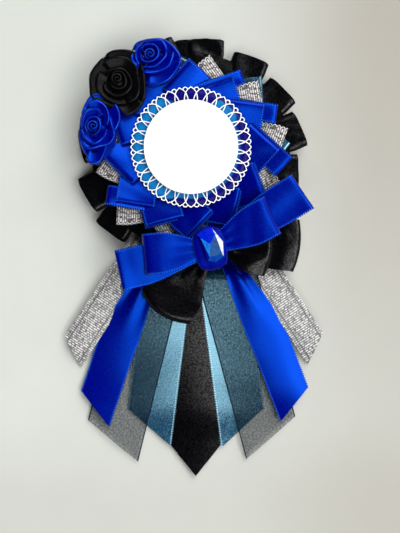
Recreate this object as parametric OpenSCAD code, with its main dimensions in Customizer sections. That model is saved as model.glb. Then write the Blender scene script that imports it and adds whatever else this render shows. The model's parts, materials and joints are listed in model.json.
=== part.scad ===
// Ribbon rosette, lying face up: pleated and looped ribbon rings around a round badge, three
// ribbon roses, two bows with a cut stone, and a fan of nine ribbon tails.
// Millimetres. +X is to the right as its face is seen, +Y is up the rosette, +Z is out of its face.
// The origin is under the middle of the whole outline, on the surface it lies on.

/* [Cloth] */
// Thickness of every ribbon wall
wall = 1; // [0.8:0.1:1.2]
// Clear gap between pieces that lie on each other
gap = 0.2; // [0.15:0.05:0.3]

/* [Ring] */
// Rosette centre, left or right of the outline's middle
centre_x = -1.5; // [-3:0.5:3]
// Rosette centre, above the outline's middle
centre_y = 51.5; // [50:0.5:53]
// Radius of the felt backing disc
backing_r = 40; // [34:1:41]
// Thickness of the felt backing disc
backing_t = 2.3; // [1.5:0.1:2.3]
// Radius at the middle of the outer edge of a black box pleat
ruffle_r = 56.5; // [54:0.5:58]
// Width of a black box pleat
ruffle_pleat_w = 18; // [15:0.5:19]
// Length of a black box pleat that stands out of the ring
ruffle_pleat_l = 14; // [12:0.5:16]
// Number of black box pleats
ruffle_count = 16; // [14:1:16]

/* [Loops and pleats] */
// Width of the silver loops' ribbon
silver_w = 15; // [12:0.5:15]
// Length of a silver loop
silver_l = 15.5; // [13:0.5:15.5]
// Width of the royal blue ribbon, which is a front panel's length
blue_w = 18.5; // [17:0.5:19]
// How far a blue pleat reaches back under its neighbour
blue_reach = 17; // [14:0.5:18]
// Tilt of a blue pleat, with its folded edge raised
blue_tilt = 16.5; // [16:0.5:18]

/* [Badge] */
// Radius of the bare white face
face_r = 22.8; // [20:0.1:23]
// Radius of the blue shell under the lace
shell_r = 26.6; // [25:0.1:27]
// Radius at the tips of the pierced lace border
lace_r = 29.3; // [28:0.1:29.5]
// Number of arches in the lace border
lace_count = 32; // [24:1:32]

/* [Bows] */
// Width of the black satin ribbon
black_w = 25; // [22:0.5:26]
// Knot of the blue bow, left or right
knot_x = 7.8; // [6:0.1:9]
// Knot of the blue bow, up or down
knot_y = 3.1; // [2:0.1:4]
// Width of the cut stone
gem_w = 13; // [11:0.5:14]
// Length of the cut stone
gem_l = 18; // [15:0.5:18]

/* [Hidden] */
$fn = 64;
arc_steps = 8;

// Step from one tail to the tail that lies on it
layer = wall + gap;
// Clear gap between the ring's bigger pieces
ring_gap = gap + 0.1;

// Heights of the pieces that others lie on
pin_h = 3.3;
ruffle_h = 3.4;
silver_h = 2.6;
silver_tilt = 5;
shell_h = 2.2;
lace_t = 0.8;
rose_h = 11;
bow_back_h = 3;
bow_front_h = 6;
knot_inner_h = 7;
knot_corner_r = 2.2;

// Levels of the pile, from the surface up
backing_z = pin_h + gap;
ruffle_z = backing_z + backing_t + gap;
light_z = ruffle_z + ruffle_h + ring_gap;
silver_z = light_z + wall + ring_gap;
// The low sides of the blue pleats sink this far between the high sides of the silver loops
blue_nest = 0.88;
blue_z = silver_z + silver_h + silver_w * sin(silver_tilt) + 2 * gap - blue_nest;
blue_top = blue_z + blue_reach * sin(blue_tilt) + 2 * wall;
// The badge is pressed into the hollow that the tilted pleats leave in the middle
badge_z = blue_top - 1.6;
lace_z = badge_z + shell_h + gap;
face_z = lace_z + lace_t + gap;
over_ring_z = blue_top + ring_gap;
bow_front_z = over_ring_z + bow_back_h + ring_gap;
gem_z = over_ring_z + knot_inner_h - wall + knot_corner_r + gap;

// Silver loops: outer corner from the rosette centre, then the way the loop points
SILVER = [
    [10.2, 47.2, 36],
    [34.4, 33.9, 11],
    [48.1, 11.2, -20],
    [44.3, -15, -57],
    [32.4, -35, -85],
    [11.8, -46, -114],
    [-13, -46.5, -150],
    [-36.8, -36.5, -182],
    [-47, -10.7, -212.4],
    [-45.7, 13.1, -240.5],
    [-33.8, 33.4, -268],
    [-13.5, 45.5, -295.5],
];

// Blue pleats: outer end of the folded edge from the rosette centre, the way it points, how far
// the back layer reaches past the front panel, and the back layer's width
BLUE = [
    [-0.9, 43.6, 49, 1, 15],
    [20.2, 35.6, 19, 5, 7],
    [35.9, 22.3, -8, 6.5, 10],
    [43.3, 0.1, -42, 6.8, 11],
    [36.8, -23.8, -70, 6.5, 9],
    [20.6, -37.5, -101.5, 6.5, 9],
    [-1.9, -43.8, -133, 5, 5],
    [-21.3, -37.8, -164.5, 5, 5],
    [-36.3, -25.6, -188.5, 7, 9],
    [-41.9, -3.8, -224, 5, 9],
    [-39.5, 20, -251, 5, 9],
    [-24, 36, -281, 5, 9],
];

// Tails: name, layer, start x, start y, heading from straight down (right is plus), width at
// the start, distance to the bend, heading after it, width, length of the left edge, length
// of the right edge, length at the point, y where it starts to fall, y where it is down
TAILS = [
    ["black_tail", 0, 0.9, 6, 0, 25, 50, 0, 25, 101, 101, 116.3, 0, 0],
    ["light_blue_tail_left", 1, -11.5, 0, -7.2, 23.4, 40, -7.2, 23.4, 79.2, 94.5, 0, 0, 0],
    ["light_blue_tail_right", 1, 13.1, 0, 7.5, 23.4, 40, 7.5, 23.4, 95.4, 78.9, 0, 0, 0],
    ["organza_tail_left", 2, -17.5, 0, -13.9, 29.4, 40, -13.9, 29.4, 88.5, 102.8, 0, -94, -103],
    ["organza_tail_right", 2, 13.8, 0, 15.1, 29.4, 40, 15.1, 29.4, 101.7, 87.5, 0, -94, -103],
    ["blue_tail_left", 3, -14.5, 8, -24.8, 6, 55.2, -18.5, 18.8, 85.4, 97.7, 0, 0, 0],
    ["blue_tail_right", 3, 11.5, 8, 28.1, 6, 53, 21, 18.8, 96.5, 85.8, 0, 0, 0],
    ["silver_tail_left", 4, -23, 8, -33.5, 15, 30, -33.5, 15, 63, 72, 0, -44, -58],
    ["silver_tail_right", 4, 24.5, 8, 33.5, 15, 30, 33.5, 15, 70.2, 60.7, 0, -44, -58],
];
TAIL_COLOURS = ["#0c0c10", "#6fa3c0", "#70757a", "#0a1fb0", "#b4aea8"];

// Roses: name, x and y from the rosette centre, half width, half height, turn, colour
ROSES = [
    ["rose_blue_top", -17, 41.4, 13.2, 10.8, 0, "#0a24c4"],
    ["rose_black", -35.4, 31.4, 13.5, 15.5, 60, "#101013"],
    ["rose_blue_low", -43.7, 9.4, 9.8, 17, 120, "#0a24c4"],
];
// Petal rings of a rose: inner radius share, outer radius share, height share, arc, turn
PETALS = [
    [0.06, 0.16, 1, 300, 0],
    [0.24, 0.38, 0.95, 300, 130],
    [0.46, 0.62, 0.84, 310, 250],
    [0.68, 0.96, 0.64, 320, 20],
];

// Black bow: root x, root y, height above the ring's lowest loops, direction, length, width,
// width at the root, depth, depth at the root, where the hollow starts
BLACK_LOOPS = [
    [6, -2, 0, 233, 35, black_w + 2, 13, 8, 3, 7],
    [11, 1, 0, 4, 42.5, black_w + 1, 10, 3.4, 2.4, 8],
    [11, -2, 3.7, 2, 26, 20, 9, 4.6, 2.4, 8],
];

// Blue bow: direction and length of each loop, the back pair and the front pair
BOW_BACK = [[31.6, 52.8], [193.5, 45.4]];
BOW_FRONT = [[28, 34], [185.6, 32]];

// Moves to the rosette centre
module at_centre() {
    translate([centre_x, centre_y, 0]) children();
}

// Points of an arc from angle a to angle b about [x, y]
function arc(x, y, r, a, b) =
    [for (i = [0 : arc_steps])
        let (t = a + (b - a) * i / arc_steps)
        [x + r * cos(t), y + r * sin(t)]];

// Side view of a ribbon loop: from the root at x = 0 to a round end at x = length
function loop_side(length, depth, root, inset, from) =
    let (
        r = depth / 2,
        rise = (depth - root) / (length - r)
    )
    concat(
        [[from, inset]],
        arc(length - r, r, r - inset, -90, 90),
        [[from, root + rise * from - inset]]
    );

// A ribbon loop with walls, along +X, narrowed in plan towards its root
module ribbon_loop(length, end_w, root_w, depth, root, hollow_from) {
    full_from = length * 0.7;
    intersection() {
        rotate([90, 0, 0])
            linear_extrude(end_w + 2, center = true)
                difference() {
                    polygon(loop_side(length, depth, root, 0, 0));
                    polygon(loop_side(length, depth, root, wall, hollow_from));
                }
        translate([0, 0, -1])
            linear_extrude(depth + 2)
                polygon([
                    [-1, -root_w / 2],
                    [full_from, -end_w / 2],
                    [length + 1, -end_w / 2],
                    [length + 1, end_w / 2],
                    [full_from, end_w / 2],
                    [-1, root_w / 2],
                ]);
    }
}

// A steel brooch pin: plate, hinge post, catch post and needle in one piece
module brooch_pin() {
    plate_l = 34;
    plate_w = 5;
    post_l = 3;
    needle_r = 0.5;
    needle_z = 0.9;
    above_centre = 10;
    color("silver") at_centre() translate([0, above_centre, 0]) union() {
        translate([-plate_l / 2, -plate_w / 2, pin_h - wall]) cube([plate_l, plate_w, wall]);
        for (side = [-1, 1])
            translate([side * (plate_l - post_l) / 2 - post_l / 2, -post_l / 2, 0])
                cube([post_l, post_l, pin_h]);
        translate([1 - plate_l / 2, 0, needle_z]) rotate([0, 90, 0])
            cylinder(r = needle_r, h = plate_l - 2);
    }
}

module backing_disc() {
    color("#15151a") at_centre() translate([0, 0, backing_z]) cylinder(r = backing_r, h = backing_t);
}

// Black satin ring: a card disc with hollow box pleats that open outwards
module black_ruffle() {
    card_r = 52;
    pleat_turn = 11;
    first_pleat = 79.5;
    color("#101013") at_centre() translate([0, 0, ruffle_z]) union() {
        cylinder(r = card_r, h = wall);
        for (i = [0 : ruffle_count - 1])
            rotate(first_pleat - i * 360 / ruffle_count)
                translate([ruffle_r, 0, 0]) rotate(pleat_turn)
                    difference() {
                        translate([-ruffle_pleat_l, -ruffle_pleat_w / 2, 0])
                            cube([ruffle_pleat_l, ruffle_pleat_w, ruffle_h]);
                        translate([wall - ruffle_pleat_l, wall - ruffle_pleat_w / 2, wall])
                            cube([ruffle_pleat_l, ruffle_pleat_w - 2 * wall, ruffle_h - 2 * wall]);
                    }
    }
}

// Light blue ribbon loops under sheer ribbon, stitched flat on a round middle
module light_blue_ring() {
    middle_r = 33;
    end_r = 42;
    loop_l = 18;
    loop_w = 22;
    past_end_r = 5;
    loop_count = 12;
    first_loop = 62;
    loop_turn = -33;
    color("#6d8fa6") at_centre() translate([0, 0, light_z]) union() {
        cylinder(r = middle_r, h = wall);
        for (i = [0 : loop_count - 1])
            rotate(first_loop - i * 360 / loop_count)
                translate([end_r, 0, 0]) rotate(loop_turn)
                    translate([past_end_r - loop_l, -loop_w / 2, 0]) cube([loop_l, loop_w, wall]);
    }
}

// A hollow silver loop, its outer corner at the row's point
module silver_loop(row) {
    root_w = silver_w - 5;
    color("#b4aea8") at_centre()
        translate([row[0], row[1], silver_z + silver_w * sin(silver_tilt)])
            rotate(row[2]) rotate([silver_tilt, 0, 0])
                translate([-silver_l, -silver_w / 2, 0])
                    ribbon_loop(silver_l, silver_w, root_w, silver_h, silver_h, 0);
}

// A blue pleat: front panel, longer back layer, the round fold that joins them and a round end
module blue_pleat(row) {
    panel_w = blue_reach - wall;
    back_l = blue_w + row[3] - wall / 2;
    back_w = row[4] - wall;
    color("#0a1fb0") at_centre()
        translate([row[0], row[1], blue_z + blue_reach * sin(blue_tilt)])
            rotate(row[2]) rotate([blue_tilt, 0, 0])
                union() {
                    translate([-blue_w, -blue_reach, 0]) cube([blue_w, panel_w, 2 * wall]);
                    translate([-blue_w, -row[4], 0]) cube([back_l, back_w, wall]);
                    translate([-blue_w, -wall, wall]) rotate([0, 90, 0])
                        cylinder(r = wall, h = blue_w);
                    translate([row[3] - wall / 2, -wall, wall / 2]) rotate([90, 0, 0])
                        cylinder(r = wall / 2, h = back_w);
                }
}

// Low domed shell of the badge
module badge_shell() {
    color("#0a78be") at_centre() translate([0, 0, badge_z])
        rotate_extrude()
            polygon(concat(
                [[0, 0], [shell_r - shell_h, 0]],
                arc(shell_r - shell_h, shell_h, shell_h, -60, 0),
                [[0, shell_h]]
            ));
}

// One side of a lace arch, from its tip to the face: share of a pitch, share of the lace radius
LACE_ARCH = [[0, 0.966], [0.3, 0.932], [0.5, 0.878], [0.66, 0.83], [0.75, 0.77]];
// The small loop between two tips, from one arch to the next
LACE_PICOT = [[0.3, 0.932], [0.4, 0.98], [0.5, 0.995], [0.6, 0.98], [0.7, 0.932]];
// Foot of the cell by the face
LACE_FOOT = [[0.34, 0.83], [0.25, 0.77]];

// Turns lace rows into points, with side -1 for the mirrored arch
function lace_points(rows, turn, side = 1) =
    [for (row = rows)
        let (a = (turn + side * row[0]) * 360 / lace_count, r = row[1] * lace_r)
        [r * cos(a), r * sin(a)]];

function normal(v) = [v.y, -v.x] / norm(v);

// An anticlockwise outline whose edges all move outwards by d, or inwards where d is negative
function grown(points, d) =
    let (n = len(points))
    [for (i = [0 : n - 1])
        let (
            n1 = normal(points[i] - points[(i + n - 1) % n]),
            n2 = normal(points[(i + 1) % n] - points[i])
        )
        points[i] + (n1 + n2) / (1 + n1 * n2) * d];

// Cells between the bars at one arch: the big one, the picot's and the one by the face
function lace_cells(turn) =
    let (
        side = concat([for (i = [0 : 2]) LACE_ARCH[i]], LACE_FOOT),
        side_back = [for (i = [4 : -1 : 1]) side[i]]
    )
    [
        concat(lace_points(side, turn), lace_points(side_back, turn, -1)),
        lace_points(concat([LACE_ARCH[2]], LACE_PICOT), turn),
        lace_points(
            [LACE_FOOT[1], LACE_FOOT[0], LACE_ARCH[2], LACE_ARCH[3], LACE_ARCH[4]], turn
        ),
    ];

// Pierced border: pointed arches that cross, with a small loop between each two tips
module lace_border() {
    bar_w = 0.7;
    middle_r = face_r + 0.3;
    scallop = concat([LACE_ARCH[0]], LACE_PICOT);
    edge = [for (k = [0 : lace_count - 1]) each lace_points(scallop, k)];
    color("white") at_centre() translate([0, 0, lace_z]) linear_extrude(lace_t) union() {
        circle(r = middle_r);
        difference() {
            polygon(grown(edge, bar_w / 2));
            for (k = [0 : lace_count - 1], cell = lace_cells(k)) polygon(grown(cell, -bar_w / 2));
        }
    }
}

module badge_face() {
    face_t = 1.5;
    round_r = 0.5;
    color("white") at_centre() translate([0, 0, face_z])
        rotate_extrude()
            polygon(concat(
                [[0, 0], [face_r, 0]],
                arc(face_r - round_r, face_t - round_r, round_r, 0, 90),
                [[0, face_t]]
            ));
}

// Middle radius of a rose
function rose_r(row) = (row[3] + row[4]) / 2;

// Space beyond the line where a rose is pressed against its neighbour
module beyond_neighbour(row, other) {
    d = [other[1] - row[1], other[2] - row[2]];
    share = rose_r(row) / (rose_r(row) + rose_r(other));
    side = 4 * row[4];
    translate([row[1] + d.x * share, row[2] + d.y * share, over_ring_z - 1])
        rotate(atan2(d.y, d.x)) translate([-gap, -side / 2, 0]) cube([side, side, rose_h + 3]);
}

// A ribbon rose: a base, flared petal walls that are open arcs, and a bud
module rose(row) {
    r = max(row[3], row[4]);
    petal_wall = wall * r / min(row[3], row[4]);
    base_h = 1.2;
    color(row[6]) at_centre() difference() {
        translate([row[1], row[2], over_ring_z]) scale([row[3] / r, row[4] / r, 1]) union() {
            cylinder(r = r * 0.74, h = base_h);
            cylinder(r = r * 0.1, h = rose_h);
            for (p = PETALS)
                rotate(row[5] + p[4]) rotate_extrude(angle = p[3])
                    polygon([
                        [r * p[0], 0],
                        [r * p[0] + petal_wall, 0],
                        [r * p[1] + petal_wall, rose_h * p[2]],
                        [r * p[1], rose_h * p[2]],
                    ]);
        }
        for (other = ROSES)
            if (other[0] != row[0]
                && norm([other[1] - row[1], other[2] - row[2]]) < row[4] + other[4] + row[3])
                beyond_neighbour(row, other);
    }
}

// Outline of a tail from its table row
function tail_outline(t) =
    let (
        a = [sin(t[4]), -cos(t[4])],
        b = [sin(t[7]), -cos(t[7])],
        na = [-a.y, a.x],
        nb = [-b.y, b.x],
        start = [t[2], t[3]],
        bend = start + a * t[6],
        half = t[8] / 2,
        left_end = bend + b * (t[9] - t[6]) - nb * half,
        right_end = bend + b * (t[10] - t[6]) + nb * half,
        point = t[11] > 0 ? [bend + b * (t[11] - t[6])] : []
    )
    concat(
        [start - na * t[5] / 2, bend - (na + nb) / 2 * half, left_end],
        point,
        [right_end, bend + (na + nb) / 2 * half, start + na * t[5] / 2]
    );

// Side view of a tail that lies level and then falls to the surface
function tail_side(z, falls_at, down_at) =
    [[20, z], [falls_at, z], [down_at, 0], [-120, 0], [-120, wall], [down_at, wall],
     [falls_at, z + wall], [20, z + wall]];

module tail(t) {
    z = t[1] * layer;
    color(TAIL_COLOURS[t[1]])
        if (t[12] < 0)
            intersection() {
                linear_extrude(z + 2 * wall) polygon(tail_outline(t));
                rotate([90, 0, 90]) linear_extrude(160, center = true)
                    polygon(tail_side(z, t[12], t[13]));
            }
        else
            translate([0, 0, z]) linear_extrude(wall) polygon(tail_outline(t));
}

// Black satin bow under the blue one: one long loop down and two short ones to the right, cut
// back where the ring of blue pleats covers it
module black_bow() {
    clear_r = 52.8;
    middle = [10, 9, 6.2];
    color("#101013") difference() {
        union() {
            for (b = BLACK_LOOPS)
                translate([b[0], b[1], light_z + b[2]]) rotate(b[3])
                    ribbon_loop(b[4], b[5], b[6], b[7], b[8], b[9]);
            translate([3, -7, light_z]) cube(middle);
        }
        at_centre() translate([0, 0, light_z - 1]) cylinder(r = clear_r, h = 20);
    }
}

// A pair of blue loops on one ribbon, gathered to a round middle
module blue_loops(rows, depth, root_h, z) {
    ribbon_w = 19;
    root_w = 7;
    middle_r = 3.5;
    color("#0a1fb0") translate([knot_x, knot_y, z]) union() {
        cylinder(r = middle_r, h = root_h + ring_gap);
        for (row = rows)
            rotate(row[0]) ribbon_loop(row[1], ribbon_w, root_w, depth, root_h, 2 * middle_r);
    }
}

module blue_bow_back() {
    blue_loops(BOW_BACK, bow_back_h, 2.4, over_ring_z);
}

module blue_bow_front() {
    blue_loops(BOW_FRONT, bow_front_h, 2.6, bow_front_z);
}

// Ribbon wrapped over the middle of the blue bow
module bow_knot() {
    inner_w = 14.8;
    knot_w = 12;
    turn = 14;
    foot_z = 1.5;
    color("#0a1fb0") translate([knot_x, knot_y, over_ring_z]) rotate(turn)
        rotate([90, 0, 90]) linear_extrude(knot_w, center = true)
            difference() {
                polygon(concat(
                    [[wall - knot_corner_r - inner_w / 2, foot_z]],
                    [[inner_w / 2 + knot_corner_r - wall, foot_z]],
                    arc(inner_w / 2 - wall, knot_inner_h - wall, knot_corner_r, 0, 90),
                    arc(wall - inner_w / 2, knot_inner_h - wall, knot_corner_r, 90, 180)
                ));
                translate([-inner_w / 2, 0]) square([inner_w, knot_inner_h]);
            }
}

// Outline of the cut stone at a share of its full size
function gem_ring(share) =
    [for (a = [18 : 36 : 342]) share * [gem_w / 2 * cos(a), gem_l / 2 * sin(a)]];

// Cut stone with a table, a ring of crown facets and a ring of lower facets
module gem() {
    turn = 17;
    facet_turn = 10;
    sheet_t = 0.01;
    // Rings from the seat up: height, share of the full outline, turn
    rings = [[0, 0.9, 0], [1, 1, 0], [3, 0.76, facet_turn], [4.6, 0.4, facet_turn]];
    color("#0a50c8") translate([knot_x, knot_y + 0.9, gem_z]) rotate(turn) hull()
        for (ring = rings)
            translate([0, 0, ring[0]]) rotate(ring[2]) linear_extrude(sheet_t)
                polygon(gem_ring(ring[1]));
}

brooch_pin();
backing_disc();
black_ruffle();
light_blue_ring();
badge_shell();
lace_border();
badge_face();
black_bow();
blue_bow_back();
blue_bow_front();
bow_knot();
gem();
for (t = TAILS) tail(t);
for (r = ROSES) rose(r);
for (i = [1 : len(SILVER)])
    silver_loop(SILVER[i - 1]);
for (i = [1 : len(BLUE)])
    blue_pleat(BLUE[i - 1]);
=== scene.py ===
"""Looks of a layered ribbon rosette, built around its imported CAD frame.

Shapes are worked out in millimetres and become metres when a piece's mesh is made. The frame
is the CAD model's: +X to the right as the rosette's face is seen, +Y up the rosette, +Z out of
its face, and the origin on the surface that it lies on.
"""

from __future__ import annotations

import json
import logging
import math
from dataclasses import dataclass, field
from enum import Enum
from functools import cache
from typing import Callable, ClassVar, Sequence

import bpy
import numpy as np
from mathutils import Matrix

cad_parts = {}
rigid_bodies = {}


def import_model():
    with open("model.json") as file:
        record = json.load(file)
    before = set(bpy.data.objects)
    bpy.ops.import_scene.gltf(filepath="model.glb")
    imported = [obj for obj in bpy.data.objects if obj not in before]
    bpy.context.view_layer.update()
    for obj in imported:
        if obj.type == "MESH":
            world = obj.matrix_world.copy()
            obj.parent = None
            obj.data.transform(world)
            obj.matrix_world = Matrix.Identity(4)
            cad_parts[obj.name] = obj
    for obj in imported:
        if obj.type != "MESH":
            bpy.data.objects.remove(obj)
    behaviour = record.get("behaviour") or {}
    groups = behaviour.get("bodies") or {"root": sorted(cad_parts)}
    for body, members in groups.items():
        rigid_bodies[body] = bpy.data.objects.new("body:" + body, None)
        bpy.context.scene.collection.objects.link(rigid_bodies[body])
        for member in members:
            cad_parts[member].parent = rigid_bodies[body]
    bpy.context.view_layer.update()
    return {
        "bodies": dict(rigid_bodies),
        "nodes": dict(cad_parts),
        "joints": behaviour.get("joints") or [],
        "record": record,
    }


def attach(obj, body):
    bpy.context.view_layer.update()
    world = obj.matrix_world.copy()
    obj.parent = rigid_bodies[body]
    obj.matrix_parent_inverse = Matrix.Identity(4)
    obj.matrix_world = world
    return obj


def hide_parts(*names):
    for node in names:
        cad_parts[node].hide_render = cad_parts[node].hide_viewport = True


LOG = logging.getLogger("rosette")
MM = 0.001
BODY = "root"
# Rosette centre in the frame
CENTRE = (-1.5, 51.5)
# Middle of the black and the light blue ring
RING_CENTRE = (-1.45, 54.1)
# Point under the camera
AXIS = (3.05, -5.65)

Colour = tuple[float, float, float]
Place = Callable[[np.ndarray, np.ndarray], np.ndarray]
Value = "bpy.types.NodeSocket | float | Sequence[float]"


def smooth(x: np.ndarray | float, low: float, high: float) -> np.ndarray:
    """Rise smoothly from 0 at low to 1 at high."""
    share = np.clip((np.asarray(x, float) - low) / (high - low), 0, 1)
    return share * share * (3 - 2 * share)


def direction(degrees: float) -> np.ndarray:
    """Unit vector in plan at an angle from +X."""
    return np.array([math.cos(math.radians(degrees)), math.sin(math.radians(degrees))])


def ripple(seed: int, s: np.ndarray, t: np.ndarray, height: float, length: float) -> np.ndarray:
    """Small waves in a cloth, as a sum of four sines.

    Args:
        seed: Picks the waves' directions and phases.
        s: Distance along the cloth.
        t: Distance across it.
        height: Rough height of the waves.
        length: Rough length of the waves.

    Returns:
        Height of the waves at each point.
    """
    draw = np.random.default_rng(seed)
    total = np.zeros(np.broadcast(s, t).shape)
    sines = 4
    for _ in range(sines):
        turn, phase = draw.uniform(0, 2 * math.pi, 2)
        number = 2 * math.pi / (length * draw.uniform(0.6, 1.7))
        total += np.sin(number * (s * math.cos(turn) + t * math.sin(turn)) + phase)
    return total * height / sines


class Curve:
    """A smooth line through a few points, measured by its length."""

    def __init__(self, points: Sequence[Sequence[float]], closed: bool = False, fine: int = 12) -> None:
        """Run a centripetal spline through the points.

        Args:
            points: Points of any dimension.
            closed: Whether the line comes back to its start.
            fine: Samples between two points.
        """
        given = np.array(points, float)
        if closed:
            around = np.vstack([given[-1], given, given[0], given[1]])
        else:
            around = np.vstack([2 * given[0] - given[1], given, 2 * given[-1] - given[-2]])
        share = np.linspace(0, 1, fine, endpoint=False)[:, None]
        parts = []
        for i in range(1, len(around) - 2):
            a, b, c, d = around[i - 1 : i + 3]
            before, here, after = (np.linalg.norm(step) ** 0.5 for step in (b - a, c - b, d - c))
            out = (c - b) + here * ((b - a) / before - (c - a) / (before + here))
            into = (c - b) + here * ((d - c) / after - (d - b) / (here + after))
            parts.append(
                b
                + out * share
                + (3 * (c - b) - 2 * out - into) * share**2
                + (out + into - 2 * (c - b)) * share**3
            )
        self.line = np.vstack([*parts, around[-2]])
        steps = np.linalg.norm(np.diff(self.line, axis=0), axis=1)
        self.along = np.concatenate([[0], np.cumsum(steps)])
        self.length = float(self.along[-1])

    def at(self, s: np.ndarray) -> np.ndarray:
        """Points of the line at distances s from its start."""
        axes = [np.interp(s, self.along, self.line[:, k]) for k in range(self.line.shape[1])]
        return np.stack(axes, axis=-1)


@dataclass(frozen=True)
class Pose:
    """Where a part built about its own origin lies in the frame."""

    x: float = 0.0
    y: float = 0.0
    z: float = 0.0
    heading: float = 0.0
    tilt: float = 0.0
    pitch: float = 0.0

    def apply(self, points: np.ndarray) -> np.ndarray:
        """Tilt the points about +X, pitch them about +Y, turn them about +Z and move them."""
        x, y, z = points[..., 0], points[..., 1], points[..., 2]
        c, s = math.cos(math.radians(self.tilt)), math.sin(math.radians(self.tilt))
        y, z = y * c - z * s, y * s + z * c
        c, s = math.cos(math.radians(self.pitch)), math.sin(math.radians(self.pitch))
        x, z = x * c + z * s, z * c - x * s
        c, s = math.cos(math.radians(self.heading)), math.sin(math.radians(self.heading))
        x, y = x * c - y * s, x * s + y * c
        return np.stack([x + self.x, y + self.y, z + self.z], axis=-1)


def number_grid(points: np.ndarray, ring: bool = False) -> np.ndarray:
    """Number a grid of points row by row, with the first row once more at the end of a ring."""
    number = np.arange(points.shape[0] * points.shape[1]).reshape(points.shape[:2])
    return np.vstack([number, number[:1]]) if ring else number


def quads(number: np.ndarray) -> np.ndarray:
    """Corner numbers of the quads between the points of a numbered grid."""
    corners = number[:-1, :-1], number[1:, :-1], number[1:, 1:], number[:-1, 1:]
    return np.stack([corner.ravel() for corner in corners], axis=1)


def grid_normals(points: np.ndarray, ring: bool = False) -> np.ndarray:
    """Unit normals of a grid of points.

    Args:
        points: Grid of points, rows by columns by 3.
        ring: Whether the last row joins the first.

    Returns:
        A grid of normals.
    """
    if ring:
        padded = np.concatenate([points[-1:], points, points[:1]])
        down = (padded[2:] - padded[:-2]) / 2
    else:
        down = np.gradient(points, axis=0)
    normals = np.cross(down, np.gradient(points, axis=1))
    return normals / np.maximum(np.linalg.norm(normals, axis=-1, keepdims=True), 1e-9)


class PieceMesh:
    """The mesh of one piece, gathered patch by patch in millimetres."""

    def __init__(self, name: str) -> None:
        """Start an empty mesh for the piece of that name."""
        self.name = name
        self.points: list[np.ndarray] = []
        self.cloth: list[np.ndarray] = []
        self.faces: list[np.ndarray] = []
        self.slots: list[np.ndarray] = []
        self.count = 0

    def add(self, points: np.ndarray, faces: np.ndarray, cloth: np.ndarray, slot: int = 0) -> None:
        """Add vertices and quads.

        Args:
            points: Vertices, one row each.
            faces: Corner numbers within these vertices, four to a row.
            cloth: Along, across and distance from the edge at each vertex.
            slot: Material slot of the faces.
        """
        self.points.append(points)
        self.cloth.append(cloth)
        self.faces.append(faces + self.count)
        self.slots.append(np.full(len(faces), slot))
        self.count += len(points)

    def slab(
        self, middle: np.ndarray, cloth: np.ndarray, thickness: float, ring: bool = False
    ) -> None:
        """Add a thin sheet with two faces and a rim from a grid of points on its middle.

        Args:
            middle: Grid of points, rows by columns by 3.
            cloth: Grid of cloth places, rows by columns by 3.
            thickness: Thickness of the sheet.
            ring: Whether the last row joins the first.
        """
        half = grid_normals(middle, ring) * thickness / 2
        points = np.concatenate([(middle + half).reshape(-1, 3), (middle - half).reshape(-1, 3)])
        number = number_grid(middle, ring)
        upper = quads(number)
        under = len(points) // 2
        faces = [upper, upper[:, ::-1] + under]
        rims = [number[:, 0], number[::-1, -1]]
        if not ring:
            rims += [number[0, ::-1], number[-1]]
        for rim in rims:
            faces.append(np.stack([rim[1:], rim[:-1], rim[:-1] + under, rim[1:] + under], 1))
        self.add(points, np.vstack(faces), np.tile(cloth.reshape(-1, 3), (2, 1)))

    def build(self, materials: Sequence[bpy.types.Material], sharp: float = 50) -> bpy.types.Object:
        """Make the Blender object.

        Args:
            materials: One material to a slot.
            sharp: Angle in degrees past which an edge is sharp.

        Returns:
            The object, linked to the scene and riding on the body.
        """
        points = np.vstack(self.points) * MM
        faces = np.vstack(self.faces)
        mesh = bpy.data.meshes.new(self.name)
        mesh.vertices.add(len(points))
        mesh.vertices.foreach_set("co", points.astype(np.float32).ravel())
        mesh.loops.add(faces.size)
        mesh.loops.foreach_set("vertex_index", faces.astype(np.int32).ravel())
        mesh.polygons.add(len(faces))
        mesh.polygons.foreach_set("loop_start", np.arange(0, faces.size, 4, dtype=np.int32))
        mesh.polygons.foreach_set("material_index", np.concatenate(self.slots).astype(np.int32))
        mesh.update(calc_edges=True)
        mesh.validate()
        attribute = mesh.attributes.new("cloth", "FLOAT_VECTOR", "POINT")
        attribute.data.foreach_set("vector", np.vstack(self.cloth).astype(np.float32).ravel())
        for material in materials:
            mesh.materials.append(material)
        mesh.shade_smooth()
        mesh.set_sharp_from_angle(angle=math.radians(sharp))
        piece = bpy.data.objects.new(self.name, mesh)
        bpy.context.scene.collection.objects.link(piece)
        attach(piece, BODY)
        return piece


class Weave(Enum):
    """How a ribbon is woven."""

    SATIN = "satin"
    PLAIN_EDGE = "satin without loops along its edges"
    METALLIC = "metallic"
    ORGANZA = "organza"


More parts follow.
